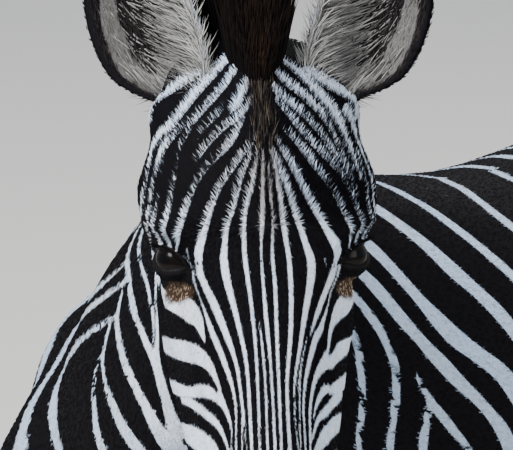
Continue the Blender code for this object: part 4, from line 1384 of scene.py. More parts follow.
def placeMap(piece, size, corner):
    layer = piece.data.uv_layers["OFBake"]
    uv = np.empty(len(layer.uv) * 2, np.float32)
    layer.uv.foreach_get("vector", uv)
    uv = uv.reshape(-1, 2) * size + corner
    layer.uv.foreach_set("vector", uv.astype(np.float32).ravel())


skinPoints = readPoints(skin.data)
# zones: 0 body, 1 head, 2 ear, 3 dock
markSkin(
    skin,
    paleField(skinPoints),
    fuzzField(skinPoints),
    warmField(skinPoints),
    tanField(skinPoints),
    skinBare,
    headShare(skinPoints) > 0.5,
    fadeField(skinPoints),
)
extraSkin = []
for name, side in sides.items():
    ear, facts = makeEar(side)
    points = readPoints(ear.data)
    markSkin(ear, earPale(facts, points), 3.5, 0, 0.1, 0, 2, 0.2)
    # how far the ear's pelt is painted grey as shade, mostly on its inside
    along, layer = facts[:, 1], facts[:, 2]
    innerShade = np.where(along > 0, layer * (along < 0.93), layer * 0.6 + 0.4 * (along < -0.8))
    setFloat(ear.data, "earInnerShade", innerShade)
    unwrapPart(ear)
    extraSkin.append(ear)
dock = makeDock()
markSkin(dock, dockPale(readPoints(dock.data)), 3.0, 0, 0, 0, 3, 1)
unwrapPart(dock)
extraSkin.append(dock)
# the extra parts' unwraps move out of the main one's square
for index, piece in enumerate(extraSkin):
    placeMap(piece, 0.12, (0.86 - 0.13 * index, 0.0))
placeMap(skin, 0.86, (0, 0.135))
skin = joined("skin", [skin, *extraSkin])
skin.data.materials.clear()
skin.data.materials.append(pelt)
onlySelect(skin)
bpy.ops.object.shade_smooth()
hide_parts(*fleshNodes, "ear_left", "ear_right", "tail_dock")
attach(skin, "root")
print("skin is marked")

# eyes: a dark brown iris with a level pupil under a wet cornea
eyePaint = newMaterial("wet_dark_eye")
pupilShare = rangeOf(eyePaint, attributeOf(eyePaint, "pupil"), {1: 0.9, 2: 1.12})
irisShare = rangeOf(eyePaint, attributeOf(eyePaint, "iris"), {1: 0.9, 2: 1.04})
fibres = noiseOf(eyePaint, addNode(eyePaint, "ShaderNodeTexCoord").outputs["Object"], 900, 3)
irisTone = blendColours(eyePaint, fibres, srgb("#050303"), srgb("#0e0806"))
eyeTone = blendColours(eyePaint, pupilShare, srgb("#030304"), irisTone)
eyeTone = blendColours(eyePaint, irisShare, eyeTone, srgb("#090706"))
setShader(
    eyePaint,
    {"Base Color": eyeTone},
    Roughness=0.2,
    Specular_IOR_Level=0.08,
    Coat_Weight=0.08,
    Coat_Roughness=0.02,
    Coat_IOR=1.38,
)
for name, side in sides.items():
    middle, gaze, along, over = eyeAxes(side)
    bpy.ops.object.select_all(action="DESELECT")
    bpy.ops.mesh.primitive_uv_sphere_add(segments=48, ring_count=28, radius=eyeWork["radius"])
    eye = bpy.context.object
    eye.name = "eyeball_" + name
    turn = Matrix((along, over, gaze)).transposed()
    if turn.determinant() < 0:
        turn = Matrix((-Vector(along), over, gaze)).transposed()
    points = readPoints(eye.data)
    ahead = points[:, 2] / eyeWork["radius"]
    across = np.degrees(np.arctan2(points[:, 0], points[:, 2]))
    height = np.degrees(np.arcsin(np.clip(points[:, 1] / eyeWork["radius"], -1, 1)))
    setFloat(eye.data, "pupil", np.where(ahead > 0, np.hypot(across / 24, height / 11), 9))
    setFloat(eye.data, "iris", np.where(ahead > 0, np.hypot(across, height) / 40, 9))
    points *= (1 + 0.035 * smoothStep(0.72, 0.95, ahead))[:, None]  # the cornea stands a little proud
    writePoints(eye.data, points @ np.array(turn).T + middle)
    eye.data.materials.append(eyePaint)
    bpy.ops.object.shade_smooth()
    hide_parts("eye_" + name)
    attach(eye, "root")

# hooves: horn with level rings, rounded at the ground
hornPaint = newMaterial("grown_dark_horn")
hornPlace = addNode(hornPaint, "ShaderNodeTexCoord").outputs["Object"]
# rings lie level round the horn
hornStretch = {"Scale": (12, 12, 240)}
hornSpread = addNode(hornPaint, "ShaderNodeMapping", hornStretch, {"Vector": hornPlace}).outputs[0]
hornRings = noiseOf(hornPaint, hornSpread, 1.6, 4)
hornFine = noiseOf(hornPaint, hornPlace, 260, 4)
hornTone = blendColours(hornPaint, hornRings, srgb("#191716"), srgb("#3b3631"))
hornTone = blendColours(hornPaint, rangeOf(hornPaint, hornFine, {1: 0.45, 2: 0.7}), hornTone, srgb("#4c453e"))
hornRelief = {"Strength": 0.6, "Distance": 0.0015}
hornBump = addNode(hornPaint, "ShaderNodeBump", hornRelief, {"Height": hornRings}).outputs[0]
hornRough = rangeOf(hornPaint, hornFine, {3: 0.4, 4: 0.65})
setShader(hornPaint, {"Base Color": hornTone, "Normal": hornBump, "Roughness": hornRough})
for leg in legNames:
    hoof = copyNode("hoof_" + leg)
    hoof.name = hoof.data.name = "hoof_wall_" + leg
    applyModifier(hoof, "BEVEL", width=0.0025, segments=2, limit_method="ANGLE", angle_limit=0.7)
    applyModifier(hoof, "SUBSURF", levels=2, render_levels=2)
    low = readPoints(hoof.data)
    low[:, 2] -= low[:, 2].min()
    writePoints(hoof.data, low)
    hoof.data.materials.append(hornPaint)
    onlySelect(hoof)
    bpy.ops.object.shade_smooth()
    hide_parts("hoof_" + leg)
    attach(hoof, "root")
print("eyes and hooves are in")

# the coat: flat little locks lying along the body, each closed, with four faces
coatWork = {
    "faceSpacing": 0.0016,
    "headSpacing": 0.0025,
    "earSpacing": 0.0026,
    "neckSpacing": 0.0040,
    "bodySpacing": 0.0044,
    "legSpacing": 0.0042,
    "whorlDown": -0.030,
    "pieceLimit": 48000,
}


def meshFacts(mesh):
    mesh.calc_loop_triangles()
    count = len(mesh.loop_triangles)
    corners = np.empty(count * 3, np.int32)
    loops = np.empty(count * 3, np.int32)
    mesh.loop_triangles.foreach_get("vertices", corners)
    mesh.loop_triangles.foreach_get("loops", loops)
    layer = mesh.uv_layers["OFBake"]
    uv = np.empty(len(layer.uv) * 2, np.float32)
    layer.uv.foreach_get("vector", uv)
    return corners.reshape(-1, 3), loops.reshape(-1, 3), uv.reshape(-1, 2).astype(float)


def readFloat(mesh, name):
    values = np.zeros(len(mesh.vertices), np.float32)
    if name in mesh.attributes:
        mesh.attributes[name].data.foreach_get("value", values)
    return values.astype(float)


skinPoints, skinNormals = readPoints(skin.data), readNormals(skin.data)
skinTriangles, skinLoops, skinUv = meshFacts(skin.data)
fieldNames = ("pale", "warm", "tan", "bare", "zone", "earInnerShade", "bodyShadeShare")
skinFields = {name: readFloat(skin.data, name) for name in fieldNames}


def spacingField(points, zone):
    around, down = headChart(points)
    head = np.where((np.abs(around) < 112) & (down > -190), coatWork["faceSpacing"], coatWork["headSpacing"])
    t, _ = neckChart(points)
    closer = coatWork["neckSpacing"] - coatWork["bodySpacing"]
    body = coatWork["bodySpacing"] + closer * smoothStep(0.1, 0.5, t)
    body = np.where(points[:, 2] < 0.70, coatWork["legSpacing"], body)
    spacing = np.where(zone > 0.5, head, body)
    return np.where(zone > 1.5, coatWork["earSpacing"], spacing)


def lieField(points, normals, zone):
    # which way the hair lies
    away = points - np.array(faceMiddle)
    side, up, out = dot(away, headSide), dot(away, headUp), dot(away, headOut)
    sign = np.tanh(side / 0.020)[:, None]
    above = smoothStep(-0.012, 0.045, up + coatWork["whorlDown"] + 0.010)[:, None]
    low = smoothStep(0.085, 0.030, np.abs(side))[:, None]
    hs, hu, ho = np.array(headSide), np.array(headUp), np.array(headOut)
    upper = hu * 0.85 + hs * sign * 0.48 - ho * 0.25
    lower = -hu * 1.0 + hs * sign * 0.22 - ho * (0.75 * (1 - low))
    head = unit(upper) * above + unit(lower) * (1 - above)
    t, degrees = neckChart(points)
    _, _, crest, heading = neckAxes(np.clip(t, 0, 1))
    neck = -heading * 0.9 - crest * 0.45
    trunk = np.tile(np.array((0, 0.78, -0.62)), (len(points), 1))
    trunk += np.array((0, 0, 1.0)) * smoothStep(0.0, 0.35, normals[:, 2])[:, None] * 0.45
    legs = np.tile(np.array((0, 0.12, -1.0)), (len(points), 1))
    body = trunk + (neck - trunk) * smoothStep(0.02, 0.25, t)[:, None]
    body = body + (legs - body) * smoothStep(0.80, 0.62, points[:, 2])[:, None]
    share = smoothStep(-0.05, 0.01, (points - throatPoint) @ throatWay)[:, None] * (zone > 0.5)[:, None]
    lie = body + (unit(head) - body) * share
    for name, side_ in sides.items():
        base, turn = earFrame(side_)
        ear = np.array(turn @ Vector((side_ * 0.25, 1.0, 0)))
        here = (zone > 1.5) & (zone < 2.5) & ((side > 0) == (side_ > 0))
        lie = np.where(here[:, None], ear, lie)
    lie = np.where((zone > 2.5)[:, None], np.array((0, 0.05, -1.0)), lie)
    lie = lie - normals * (lie * normals).sum(1, keepdims=True)
    return unit(lie)


def scatterRoots(points, triangles, spacing, wanted):
    # one root in each equal share of the surface, in the order of its faces
    a, b, c = (points[triangles[:, k]] for k in range(3))
    area = np.linalg.norm(np.cross(b - a, c - a), axis=1) / 2
    weight = area * wanted[triangles].mean(1) / spacing[triangles].mean(1) ** 2
    total = np.cumsum(weight)
    count = int(total[-1])
    place = (np.arange(count) + rng.random(count)) * (total[-1] / count)
    chosen = np.minimum(np.searchsorted(total, place), len(triangles) - 1)
    u, v = rng.random(count), rng.random(count)
    over = u + v > 1
    u[over], v[over] = 1 - u[over], 1 - v[over]
    return chosen, np.stack((1 - u - v, u, v), axis=1)


def spread(values, index, shares):
    # values at the roots, from the corners of the faces they stand on
    picked = values[index]
    return (picked * (shares[..., None] if picked.ndim == 3 else shares)).sum(1)


def linear(code):
    return np.array(srgb(code)[:3])


def lockColours(pale, warm, tan, bodyShadeShare, innerShade, flecked, points):
    # small differences between neighbours
    patch = (0.5 + 0.5 * np.clip(ripple(points, 0.09), -1, 1))[:, None]
    light = linear(coatColours["pale"]) * (1 - patch) + linear(coatColours["paleWarm"]) * patch
    body = linear(coatColours["bodyShadedPale"]) * (1 - patch) + linear(coatColours["bodyShadedPaleWarm"]) * patch
    # painted shade: away from the face the white turns to the body's darker copy
    light = light + (body - light) * bodyShadeShare[:, None]
    # painted shade: inside the ear the white turns grey
    light = light + (linear(coatColours["earShadeGrey"]) - light) * innerShade[:, None]
    dark = linear(coatColours["dark"]) * (1 - patch) + linear(coatColours["darkWarm"]) * patch
    # inside the ear the black is lifted to a dark grey, the tone of its painted-shade hollow
    dark = dark + (linear("#221f1e") - dark) * innerShade[:, None]
    light = light + (linear(coatColours["tan"]) - light) * tan[:, None]
    share = smoothStep(-0.7, 0.7, pale)[:, None]
    colour = dark + (light - dark) * share
    # the brown patches under the eyes are flecked with pale hairs
    fleck = linear("#a08f7c") * flecked[:, None] + linear(coatColours["rust"])
    return colour + (fleck * 0.8 - colour) * np.clip(warm, 0, 1)[:, None]


def meshFrom(name, points, faces, normals, colours, uv, material):
    # a mesh of triangles from arrays, with its normals, colours and unwrap
    mesh = bpy.data.meshes.new(name)
    mesh.vertices.add(len(points))
    mesh.vertices.foreach_set("co", points.astype(np.float32).ravel())
    mesh.loops.add(faces.size)
    mesh.loops.foreach_set("vertex_index", faces.astype(np.int32).ravel())
    mesh.polygons.add(len(faces))
    mesh.polygons.foreach_set("loop_start", np.arange(0, faces.size, 3, dtype=np.int32))
    mesh.polygons.foreach_set("use_smooth", np.ones(len(faces), bool))
    layer = mesh.uv_layers.new(name="OFBake")
    layer.uv.foreach_set("vector", uv[faces.ravel()].astype(np.float32).ravel())
    tint = mesh.attributes.new("hair", "FLOAT_COLOR", "POINT")
    withAlpha = np.column_stack((colours, np.ones(len(colours)))).astype(np.float32)
    tint.data.foreach_set("color", withAlpha.ravel())
    mesh.update(calc_edges=True)
    mesh.validate()
    mesh.normals_split_custom_set_from_vertices(unit(normals).astype(np.float32))
    mesh.materials.append(material)
    made = bpy.data.objects.new(name, mesh)
    bpy.context.scene.collection.objects.link(made)
    return made


def growTufts(name, roots, normals, lies, uv, colours, tipColours, length, width, lift):
    count = len(roots)
    across = np.cross(normals, lies)
    sway = rng.normal(0, 0.16, count)[:, None]
    lies = unit(lies + across * sway)
    across = np.cross(normals, lies)
    length, width, lift = length[:, None], width[:, None], lift[:, None]
    left = roots + across * width / 2 - normals * 0.0004
    right = roots - across * width / 2 - normals * 0.0004
    ridge = roots + lies * length * 0.38 + normals * (lift * 0.75 + 0.0003)
    tip = roots + lies * length + normals * lift + across * (rng.normal(0, 0.10, count)[:, None] * length)
    points = np.stack((left, right, ridge, tip), axis=1).reshape(-1, 3)
    pattern = np.array(((0, 2, 3), (1, 3, 2), (0, 1, 2), (0, 3, 1)))
    faces = (np.arange(count)[:, None, None] * 4 + pattern).reshape(-1, 3)
    turned = unit(normals + lies * 0.12 + across * rng.normal(0, 0.16, count)[:, None])
    corner = np.array(((-0.0014, -0.0014), (0.0014, -0.0014), (0.0014, 0.0014), (-0.0014, 0.0014)))
    # a lock that reaches over a stripe's edge turns with it
    mixed = colours * 0.62 + tipColours * 0.38
    # painted shade: each lock's foot is darkened to 0.72 of its colour, and its tip lightened a little
    tints = np.stack((colours * 0.72, colours * 0.72, mixed, tipColours * 1.05), axis=1).reshape(-1, 3)
    return meshFrom(
        name,
        points,
        faces,
        np.repeat(turned, 4, axis=0),
        tints,
        (uv[:, None, :] + corner).reshape(-1, 2),
        guardHair,
    )


def settle(piece, *nodes, slot="coat"):
    if nodes:
        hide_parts(*nodes)
    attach(piece, "root")


zoneOfSkin = np.round(skinFields["zone"])
spacingOfSkin = spacingField(skinPoints, zoneOfSkin)
wantedOfSkin = np.clip(1 - skinFields["bare"] * 1.6, 0, 1)
chosen, shares = scatterRoots(skinPoints, skinTriangles, spacingOfSkin, wantedOfSkin)
corners = skinTriangles[chosen]
rootPoints = spread(skinPoints, corners, shares)
rootNormals = unit(spread(skinNormals, corners, shares))
rootUv = (skinUv[skinLoops[chosen]] * shares[..., None]).sum(1)
rootZone = np.round(zoneOfSkin[corners[:, 0]])
rootSpacing = spread(spacingOfSkin, corners, shares)
rootWarm = np.maximum(spread(skinFields["warm"], corners, shares), 0)
rootInnerShade = spread(skinFields["earInnerShade"], corners, shares)
rootLie = lieField(rootPoints, rootNormals, rootZone)
rootUp = -headChart(rootPoints)[1]
skinPale = spread(skinFields["pale"], corners, shares)
rootTan = spread(skinFields["tan"], corners, shares)
rootLength = np.where(rootZone > 0.5, 0.0034 + 0.0036 * smoothStep(5, 70, rootUp), 0.0050)
rootLength = np.where(rootZone > 1.5, 0.0045 + 0.0040 * (rootInnerShade > 0.5), rootLength)
rootLength = rootLength * rng.uniform(0.75, 1.3, len(rootPoints))
rootWidth = rootSpacing * rng.uniform(0.34, 0.54, len(rootPoints))
rootWidth = rootWidth * np.where(rootZone == 1, 1 - 0.42 * smoothStep(5, 45, rootUp), 1)
rootLift = np.where(rootZone > 0.5, 0.0006 + 0.0010 * smoothStep(5, 70, rootUp), 0.0008)
rootLift = rootLift * rng.uniform(0.7, 1.3, len(rootPoints))
rootBodyShade = spread(skinFields["bodyShadeShare"], corners, shares)
# on the forehead the longer hairs keep their own colour to the tip, elsewhere it follows the stripe's edge
own = smoothStep(0, 45, rootUp) * (rootZone > 0.5)
reachOut = rootLie * (rootLength * (1 - own))[:, None]
rootPale = np.where(rootZone < 1.5, paleField(rootPoints + reachOut * 0.3), skinPale)
tipPale = np.where(rootZone < 1.5, paleField(rootPoints + reachOut * 0.95), skinPale)
tipPale = tipPale + (rootPale - tipPale) * own
wander = rng.normal(0, 0.35, len(rootPoints))
flecked = rng.random(len(rootPoints)) < 0.30
rest = (rootWarm, rootTan, rootBodyShade, np.clip(rootInnerShade, 0, 1), flecked, rootPoints)
bright = rng.uniform(0.80, 1.12, len(rootPoints))[:, None]
rootColours = lockColours(rootPale + wander, *rest) * bright
tipColours = lockColours(tipPale + wander, *rest) * bright
keep = ~((rootInnerShade > 0.5) & (rng.random(len(rootPoints)) < 0.4))
print("coat has", len(rootPoints), "locks")
headRootSide = dot(rootPoints - np.array(faceMiddle), headSide)
rootSide = np.where(rootZone > 0.5, headRootSide, rootPoints[:, 0] - trunkZero.x)
areaKey = np.where(
    rootZone > 1.5,
    3,
    np.where(rootZone > 0.5, np.where(rootUp > 10, 0, 1), np.where(rootPoints[:, 1] < 0.06, 4, 5)),
)
areaKey = areaKey * 2 + (rootSide > 0)
areaLabels = {
    0: "forehead",
    1: "cheek_and_nose",
    3: "ear_and_dock",
    4: "neck_and_shoulder",
    5: "side_and_rump",
}
for key in np.unique(areaKey):
    members = np.flatnonzero((areaKey == key) & keep)
    parts = max(1, math.ceil(len(members) / coatWork["pieceLimit"]))
    for part, some in enumerate(np.array_split(members, parts)):
        label = areaLabels[int(key) // 2] + ("_left" if key % 2 else "_right")
        label += "_" + str(part + 1) if parts > 1 else ""
        settle(
            growTufts(
                "coat_" + label,
                rootPoints[some],
                rootNormals[some],
                rootLie[some],
                rootUv[some],
                rootColours[some],
                tipColours[some],
                rootLength[some],
                rootWidth[some],
                rootLift[some],
            )
        )
print("coat is laid")

skinTree = BVHTree.FromPolygons([Vector(p) for p in skinPoints], skinTriangles.tolist())


def skinUnder(points):
    # nearest place on the skin, with its normal and its place on the unwrap
    places, normals, uvs = [], [], []
    for point in points:
        place, normal, index, _ = skinTree.find_nearest(Vector(point))
        places.append(place)
        normals.append(normal)
        uvs.append(skinUv[skinLoops[index]].mean(0))
    return np.array(places), np.array(normals), np.array(uvs)


def growLocks(name, roots, ways, bends, uv, lengths, widths, rootTint, tipTint, sections=4, flat=0.45):
    # long locks: tapered three-sided strands that bend towards the second direction
    count = len(roots)
    across = unit(np.cross(ways, unit(rng.normal(size=(count, 3)))))
    third = np.cross(ways, across)
    steps = np.linspace(0, 1, sections + 1)[:-1]
    rings, tints, normals = [], [], []
    for s in steps:
        middle = roots + ways * (lengths * s)[:, None] + bends * (lengths * s * s)[:, None]
        fat = widths * (0.75 + 0.6 * math.sin(math.pi * min(s * 1.3, 1))) * (1 - s**2.2) * 0.5
        for k in range(3):
            turn = 2 * math.pi * k / 3
            off = across * math.cos(turn) + third * (math.sin(turn) * flat)
            rings.append(middle + off * fat[:, None])
            normals.append(unit(off + ways * 0.15))
            tints.append(rootTint + (tipTint - rootTint) * smoothStep(0.35, 1.0, s))
    rings.append(roots + ways * lengths[:, None] + bends * lengths[:, None])
    normals.append(unit(ways))
    tints.append(tipTint)
    per = len(rings)
    pattern = [(0, 2, 1)]
    for ring in range(sections - 1):
        for k in range(3):
            a, b = ring * 3 + k, ring * 3 + (k + 1) % 3
            pattern += [(a, b, b + 3), (a, b + 3, a + 3)]
    for k in range(3):
        pattern.append(((sections - 1) * 3 + k, (sections - 1) * 3 + (k + 1) % 3, per - 1))
    points = np.stack(rings, axis=1).reshape(-1, 3)
    faces = (np.arange(count)[:, None, None] * per + np.array(pattern)).reshape(-1, 3)
    box = rng.uniform(-0.0014, 0.0014, (per, 2))
    return meshFrom(
        name,
        points,
        faces,
        np.stack(normals, axis=1).reshape(-1, 3),
        np.stack(tints, axis=1).reshape(-1, 3),
        (uv[:, None, :] + box).reshape(-1, 2),
        guardHair,
    )


# the mane: stiff upright locks carrying the neck's rings, with dark brown tips
maneWork = {
    "locks": 5200,
    "height": 0.095,
    "halfWidth": 0.017,
    "from": 1.15,
    "to": 0.05,
    "tip": "#1d1512",
}


def crestAt(t):
    # the crest over the neck's middle line, found on the skin from above
    place, side, crest, heading = neckAxes(t)
    made = np.empty_like(place)
    for k in range(len(place)):
        start = Vector(place[k] + crest[k] * 0.45)
        hit = skinTree.ray_cast(start, Vector(-crest[k]), 0.6)[0]
        made[k] = hit if hit is not None else place[k] + crest[k] * 0.12
    return made, side, crest, heading


count = maneWork["locks"] // 1
t = maneWork["to"] + (maneWork["from"] - maneWork["to"]) * (np.arange(count) + rng.random(count)) / count
table = np.linspace(maneWork["to"], maneWork["from"], 160)
tableCrest, tableSide, tableUp, tableWay = crestAt(table)
crestLine, maneSide, maneUp, maneWay = (
    np.stack([np.interp(t, table, part[:, k]) for k in range(3)], axis=1)
    for part in (tableCrest, tableSide, tableUp, tableWay)
)
swell = np.sqrt(np.clip(np.sin(math.pi * np.clip((1.10 - t) / 1.16, 0, 1)), 0, 1))
height = np.where(t < 0.93, maneWork["height"] * (0.35 + 0.65 * swell), maneWork["height"] * 0.80)
over = rng.uniform(-1, 1, count)
roots = crestLine + maneSide * (over * maneWork["halfWidth"] * (0.7 + 0.3 * swell))[:, None] - maneUp * 0.006
places, normals, uvs = skinUnder(roots)
roots = places - maneUp * 0.004
ways = unit(maneUp + maneSide * (over * 0.16)[:, None] + maneWay * 0.10 + rng.normal(0, 0.055, (count, 3)))
bends = maneSide * (rng.normal(0, 0.05, count))[:, None] - maneWay * 0.05
height = height * (0.22 + 0.78 * smoothStep(0.02, 0.26, t))
lengths = height * (1 - 0.30 * np.abs(over) ** 2.5) * rng.uniform(0.86, 1.02, count)
ringField = readChart(charts["neck"], np.zeros(count), t * neckLine["length"])
white = smoothStep(-1.5, 1.5, ringField + 0.6 + rng.normal(0, 0.8, count))[:, None]
rootTint = linear(coatColours["dark"]) * (1 - white) + linear("#d2d5da") * white
tipTint = linear(maneWork["tip"]) * (1 - white) + linear("#b3aca2") * white
shade = rng.uniform(0.7, 1.15, count)[:, None]
widths = rng.uniform(0.004, 0.0062, count)
mane = growLocks("mane_locks", roots, ways, bends, uvs, lengths, widths, rootTint * shade, tipTint * shade)
settle(mane, "mane", slot="hair")

# the forelock: a tuft between the ears, up and then forward to a point on the forehead
forelockWork = {
    "locks": 2600,
    "root": "#080606",
    "tip": "#110c0a",
    "rust": "#2b1d15",
    # down the face, foot's depth, lean up the head, length, half width
    "rows": (
        (-0.232, -0.112, 0.96, 0.092, 0.020),
        (-0.226, -0.084, 0.95, 0.100, 0.026),
        (-0.214, -0.060, 0.94, 0.104, 0.030),
        (-0.200, -0.038, 0.90, 0.088, 0.028),
        (-0.190, -0.027, 0.86, 0.060, 0.021),
        (-0.181, -0.022, 0.84, 0.040, 0.013),
        (-0.172, -0.017, 0.86, 0.026, 0.008),
    ),
}
count = forelockWork["locks"] // 1
rows = throughPoints(forelockWork["rows"], 6)
k = rng.random(count) * (len(rows) - 1)
down, deep, lean, length, half = (np.interp(k, np.arange(len(rows)), rows[:, c]) for c in range(5))
over = rng.uniform(-1, 1, count)
hs, hu, ho = np.array(headSide), np.array(headUp), np.array(headOut)
roots = np.array(faceMiddle) + hs * (over * half)[:, None] - hu * down[:, None] + ho * deep[:, None]
places, normals, uvs = skinUnder(roots)
ways = hu * lean[:, None] + ho * np.sqrt(1 - lean**2)[:, None] + hs * (over * 0.10)[:, None]
ways = unit(ways + rng.normal(0, 0.05, (count, 3)))
bends = hs * (over * 0.03)[:, None] + rng.normal(0, 0.03, (count, 3))
rust = np.clip(1 - np.abs(over - 0.1) * 1.5, 0, 1)[:, None] * smoothStep(-0.215, -0.178, down)[:, None]
rust = np.clip(rust * (rng.random(count) < 0.5)[:, None], 0, 1)
rootTint = linear(forelockWork["root"]) * (1 - rust) + linear(forelockWork["rust"]) * rust
tipTint = linear(forelockWork["tip"]) * (1 - rust * 0.6) + linear(forelockWork["rust"]) * rust * 0.6
shade = rng.uniform(0.7, 1.2, count)[:, None]
forelock = growLocks(
    "forelock_locks",
    places - normals * 0.003,
    ways,
    bends,
    uvs,
    length * rng.uniform(0.85, 1.03, count) * (1 - 0.2 * np.abs(over) ** 2),
    rng.uniform(0.0028, 0.0046, count),
    rootTint * shade,
    tipTint * shade,
)
settle(forelock, "forelock", slot="hair")

# below it fine brown wisps lie up the middle of the forehead
count = 300 // 1
down = -0.178 + 0.075 * rng.random(count) ** 1.3
over = rng.normal(0, 1, count) * (0.007 - 0.03 * (down + 0.178))
roots = np.array(faceMiddle) + hs * over[:, None] - hu * down[:, None]
places, normals, uvs = skinUnder(roots)
ways = hu - normals * (normals @ hu)[:, None] + normals * 0.30 + hs * (over * 9)[:, None]
ways = unit(ways + rng.normal(0, 0.10, (count, 3)))
tone = rng.random(count)[:, None] ** 1.5
tint = linear("#0b0808") * (1 - tone) + linear("#5f554b") * tone
# painted shade: each wisp's foot is 0.7 as light as its tip
wisps = growLocks(
    "forelock_wisps",
    places - normals * 0.001,
    ways,
    -normals * 0.12 + rng.normal(0, 0.05, (count, 3)),
    uvs,
    rng.uniform(0.012, 0.026, count),
    rng.uniform(0.0005, 0.0009, count),
    tint * 0.7,
    tint,
    sections=3,
)
settle(wisps, slot="hair")

# the tail's tuft: long straight locks hanging from the end of the dock
count = tailWork["locks"] // 1
s = np.sort(rng.random(count))
rows = np.array(tailWork["rows"])
at = 3 + s * 3.2
back, rise, wide, deepHalf = (np.interp(at, np.arange(len(rows)), rows[:, c]) for c in range(4))
turn = rng.uniform(0, 2 * math.pi, count)
root = np.array(trunkZero) + np.array(tailWork["root"])
roots = root + np.stack((np.cos(turn) * wide * 0.8, back + np.sin(turn) * deepHalf * 0.8, rise), axis=1)
places, normals, uvs = skinUnder(roots)
spreadOut = 0.13 - 0.05 * s
ways = np.stack((np.cos(turn) * spreadOut, np.sin(turn) * spreadOut * 0.8, -np.ones(count)), axis=1)
ways = unit(ways + rng.normal(0, 0.025, (count, 3)))
bends = np.stack((-np.cos(turn) * spreadOut * 0.8, -np.sin(turn) * spreadOut * 0.7, np.zeros(count)), axis=1)
lowest = -0.640 + 0.06 * rng.random(count) + 0.05 * (1 - s)
lengths = rise - lowest
shade = rng.uniform(0.6, 1.3, count)[:, None]
light = (rng.random(count) < 0.25 * (1 - s))[:, None]
rootTint = (linear("#14110f") * (1 - light) + linear("#a9a49b") * light) * shade
widths = rng.uniform(0.006, 0.010, count)
tipTint = linear("#1a1411") * shade
tail = growLocks("tail_locks", roots, ways, bends, uvs, lengths, widths, rootTint, tipTint, sections=6)
settle(tail, "tail_tuft", slot="hair")

# hair inside the ears: long and pale, fanning from the inner edge and the hollow
earHairWork = {"locks": 1900, "base": 260, "pale": "#a8a7a5", "dim": "#4a4847"}
for name, side in sides.items():
    count = earHairWork["locks"] // 1
    base, turn = earFrame(side)
    axes = np.array(turn)
    k = (rng.random(count) ** 0.8) * (len(earRows) - 8)
    along = -0.95 + 1.75 * rng.random(count) ** 1.5
    roots, way = [], []
    for kk, aa in zip(k, along):
        row = earRows[int(kk)] * (1 - kk % 1) + earRows[min(int(kk) + 1, len(earRows) - 1)] * (kk % 1)
        roots.append(earPoint(side, row, aa, 1))
        outward = 0.75 - 0.55 * aa
        way.append(turn @ Vector((side * outward, 0.75, 0.42 - 0.12 * aa)))
    # at the foot the hair spreads over the head
    more = earHairWork["base"] // 1
    for kk, aa in zip(rng.uniform(1, 9, more), rng.uniform(-0.95, 0.7, more)):
        row = earRows[int(kk)]
        roots.append(earPoint(side, row, aa, 1))
        way.append(turn @ Vector((side * (0.5 + 0.3 * aa), -0.15, 0.8)))
    # and along the inner edge it is palest
    for kk, aa in zip(rng.uniform(2, 20, more), rng.uniform(-1, -0.84, more)):
        roots.append(earPoint(side, earRows[int(kk)], aa, 1))
        way.append(turn @ Vector((side * rng.uniform(-1.2, 0.3), 0.6, 0.5)))
    count += more * 2
    k = np.append(k, np.zeros(more * 2))
    roots, way = np.array(roots), unit(np.array(way) + rng.normal(0, 0.14, (count, 3)))
    places, normals, uvs = skinUnder(roots)
    bends = (axes @ np.array((side * 0.25, 0.15, -0.28)))[None, :] + rng.normal(0, 0.06, (count, 3))
    lengths = (0.026 - 0.012 * smoothStep(40, 150, k * 4.6)) * rng.uniform(0.6, 1.3, count)
    mixShare = rng.random(count)[:, None]
    mixShare[-more:] = 0.6 + 0.8 * mixShare[-more:]
    tint = linear(earHairWork["dim"]) * (1 - mixShare) + linear(earHairWork["pale"]) * mixShare
    widths = rng.uniform(0.0011, 0.0020, count)
    hairName = "ear_hair_" + name
    # painted shade: each hair's foot is 0.7 as light as its tip
    earHair = growLocks(hairName, roots, way, bends, uvs, lengths, widths, tint * 0.7, tint, sections=4)
    settle(earHair, slot="hair")

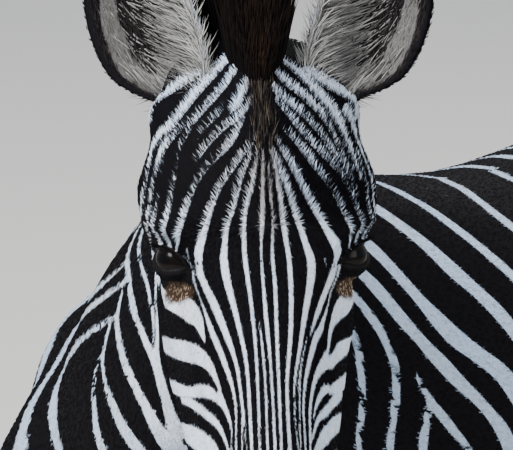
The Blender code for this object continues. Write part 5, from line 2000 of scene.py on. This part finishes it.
# lashes over each eye, and whiskers at the lips
lashWork = {"lashes": 46, "long": 0.017, "colour": "#0d0b0b"}
for name, side in sides.items():
    middle, gaze, along, over = eyeAxes(side)
    count = lashWork["lashes"]
    across = np.radians(np.linspace(-46, 50, count) + rng.normal(0, 1.0, count))
    openShare = 1 - (np.degrees(across) / lidWork["halfLong"]) ** 2
    heightAngle = np.radians(lidWork["upper"] * openShare + 2.5)
    outWay = (
        gaze * (np.cos(across) * np.cos(heightAngle))[:, None]
        + along * (np.sin(across) * np.cos(heightAngle))[:, None]
        + over * np.sin(heightAngle)[:, None]
    )
    roots = middle + outWay * (eyeWork["radius"] + 0.0012)
    ways = outWay * 0.9 + over * 0.15 + along * (np.sin(across) * 0.4)[:, None]
    ways = unit(ways + rng.normal(0, 0.05, (count, 3)))
    bends = np.tile(-over * 0.42, (count, 1)) + rng.normal(0, 0.04, (count, 3))
    places, normals, uvs = skinUnder(roots)
    tint = np.tile(linear(lashWork["colour"]), (count, 1))
    lengths = lashWork["long"] * np.clip(openShare + 0.25, 0.4, 1) * rng.uniform(0.8, 1.15, count)
    widths = np.full(count, 0.0008)
    settle(growLocks("lashes_" + name, roots, ways, bends, uvs, lengths, widths, tint, tint), slot="hair")
count = 70
down = rng.uniform(0.272, 0.318, count)
acrossSide = rng.uniform(0.012, 0.050, count) * rng.choice((-1, 1), count)
roots = np.array([onHead(s_, d_, -0.105 - 0.03 * rng.random()) for s_, d_ in zip(acrossSide, down)])
places, normals, uvs = skinUnder(roots)
ways = unit(normals + hs * np.sign(acrossSide)[:, None] * 0.2 - hu * 0.2 + rng.normal(0, 0.15, (count, 3)))
bends = np.tile(-hu * 0.25, (count, 1)) + rng.normal(0, 0.05, (count, 3))
tint = np.tile(linear("#141112"), (count, 1))
lengths = rng.uniform(0.012, 0.034, count)
widths = np.full(count, 0.0006)
whiskers = growLocks("whiskers", places - normals * 0.001, ways, bends, uvs, lengths, widths, tint, tint)
settle(whiskers, slot="hair")
print("mane, forelock, tail, ear hair, lashes and whiskers are in")
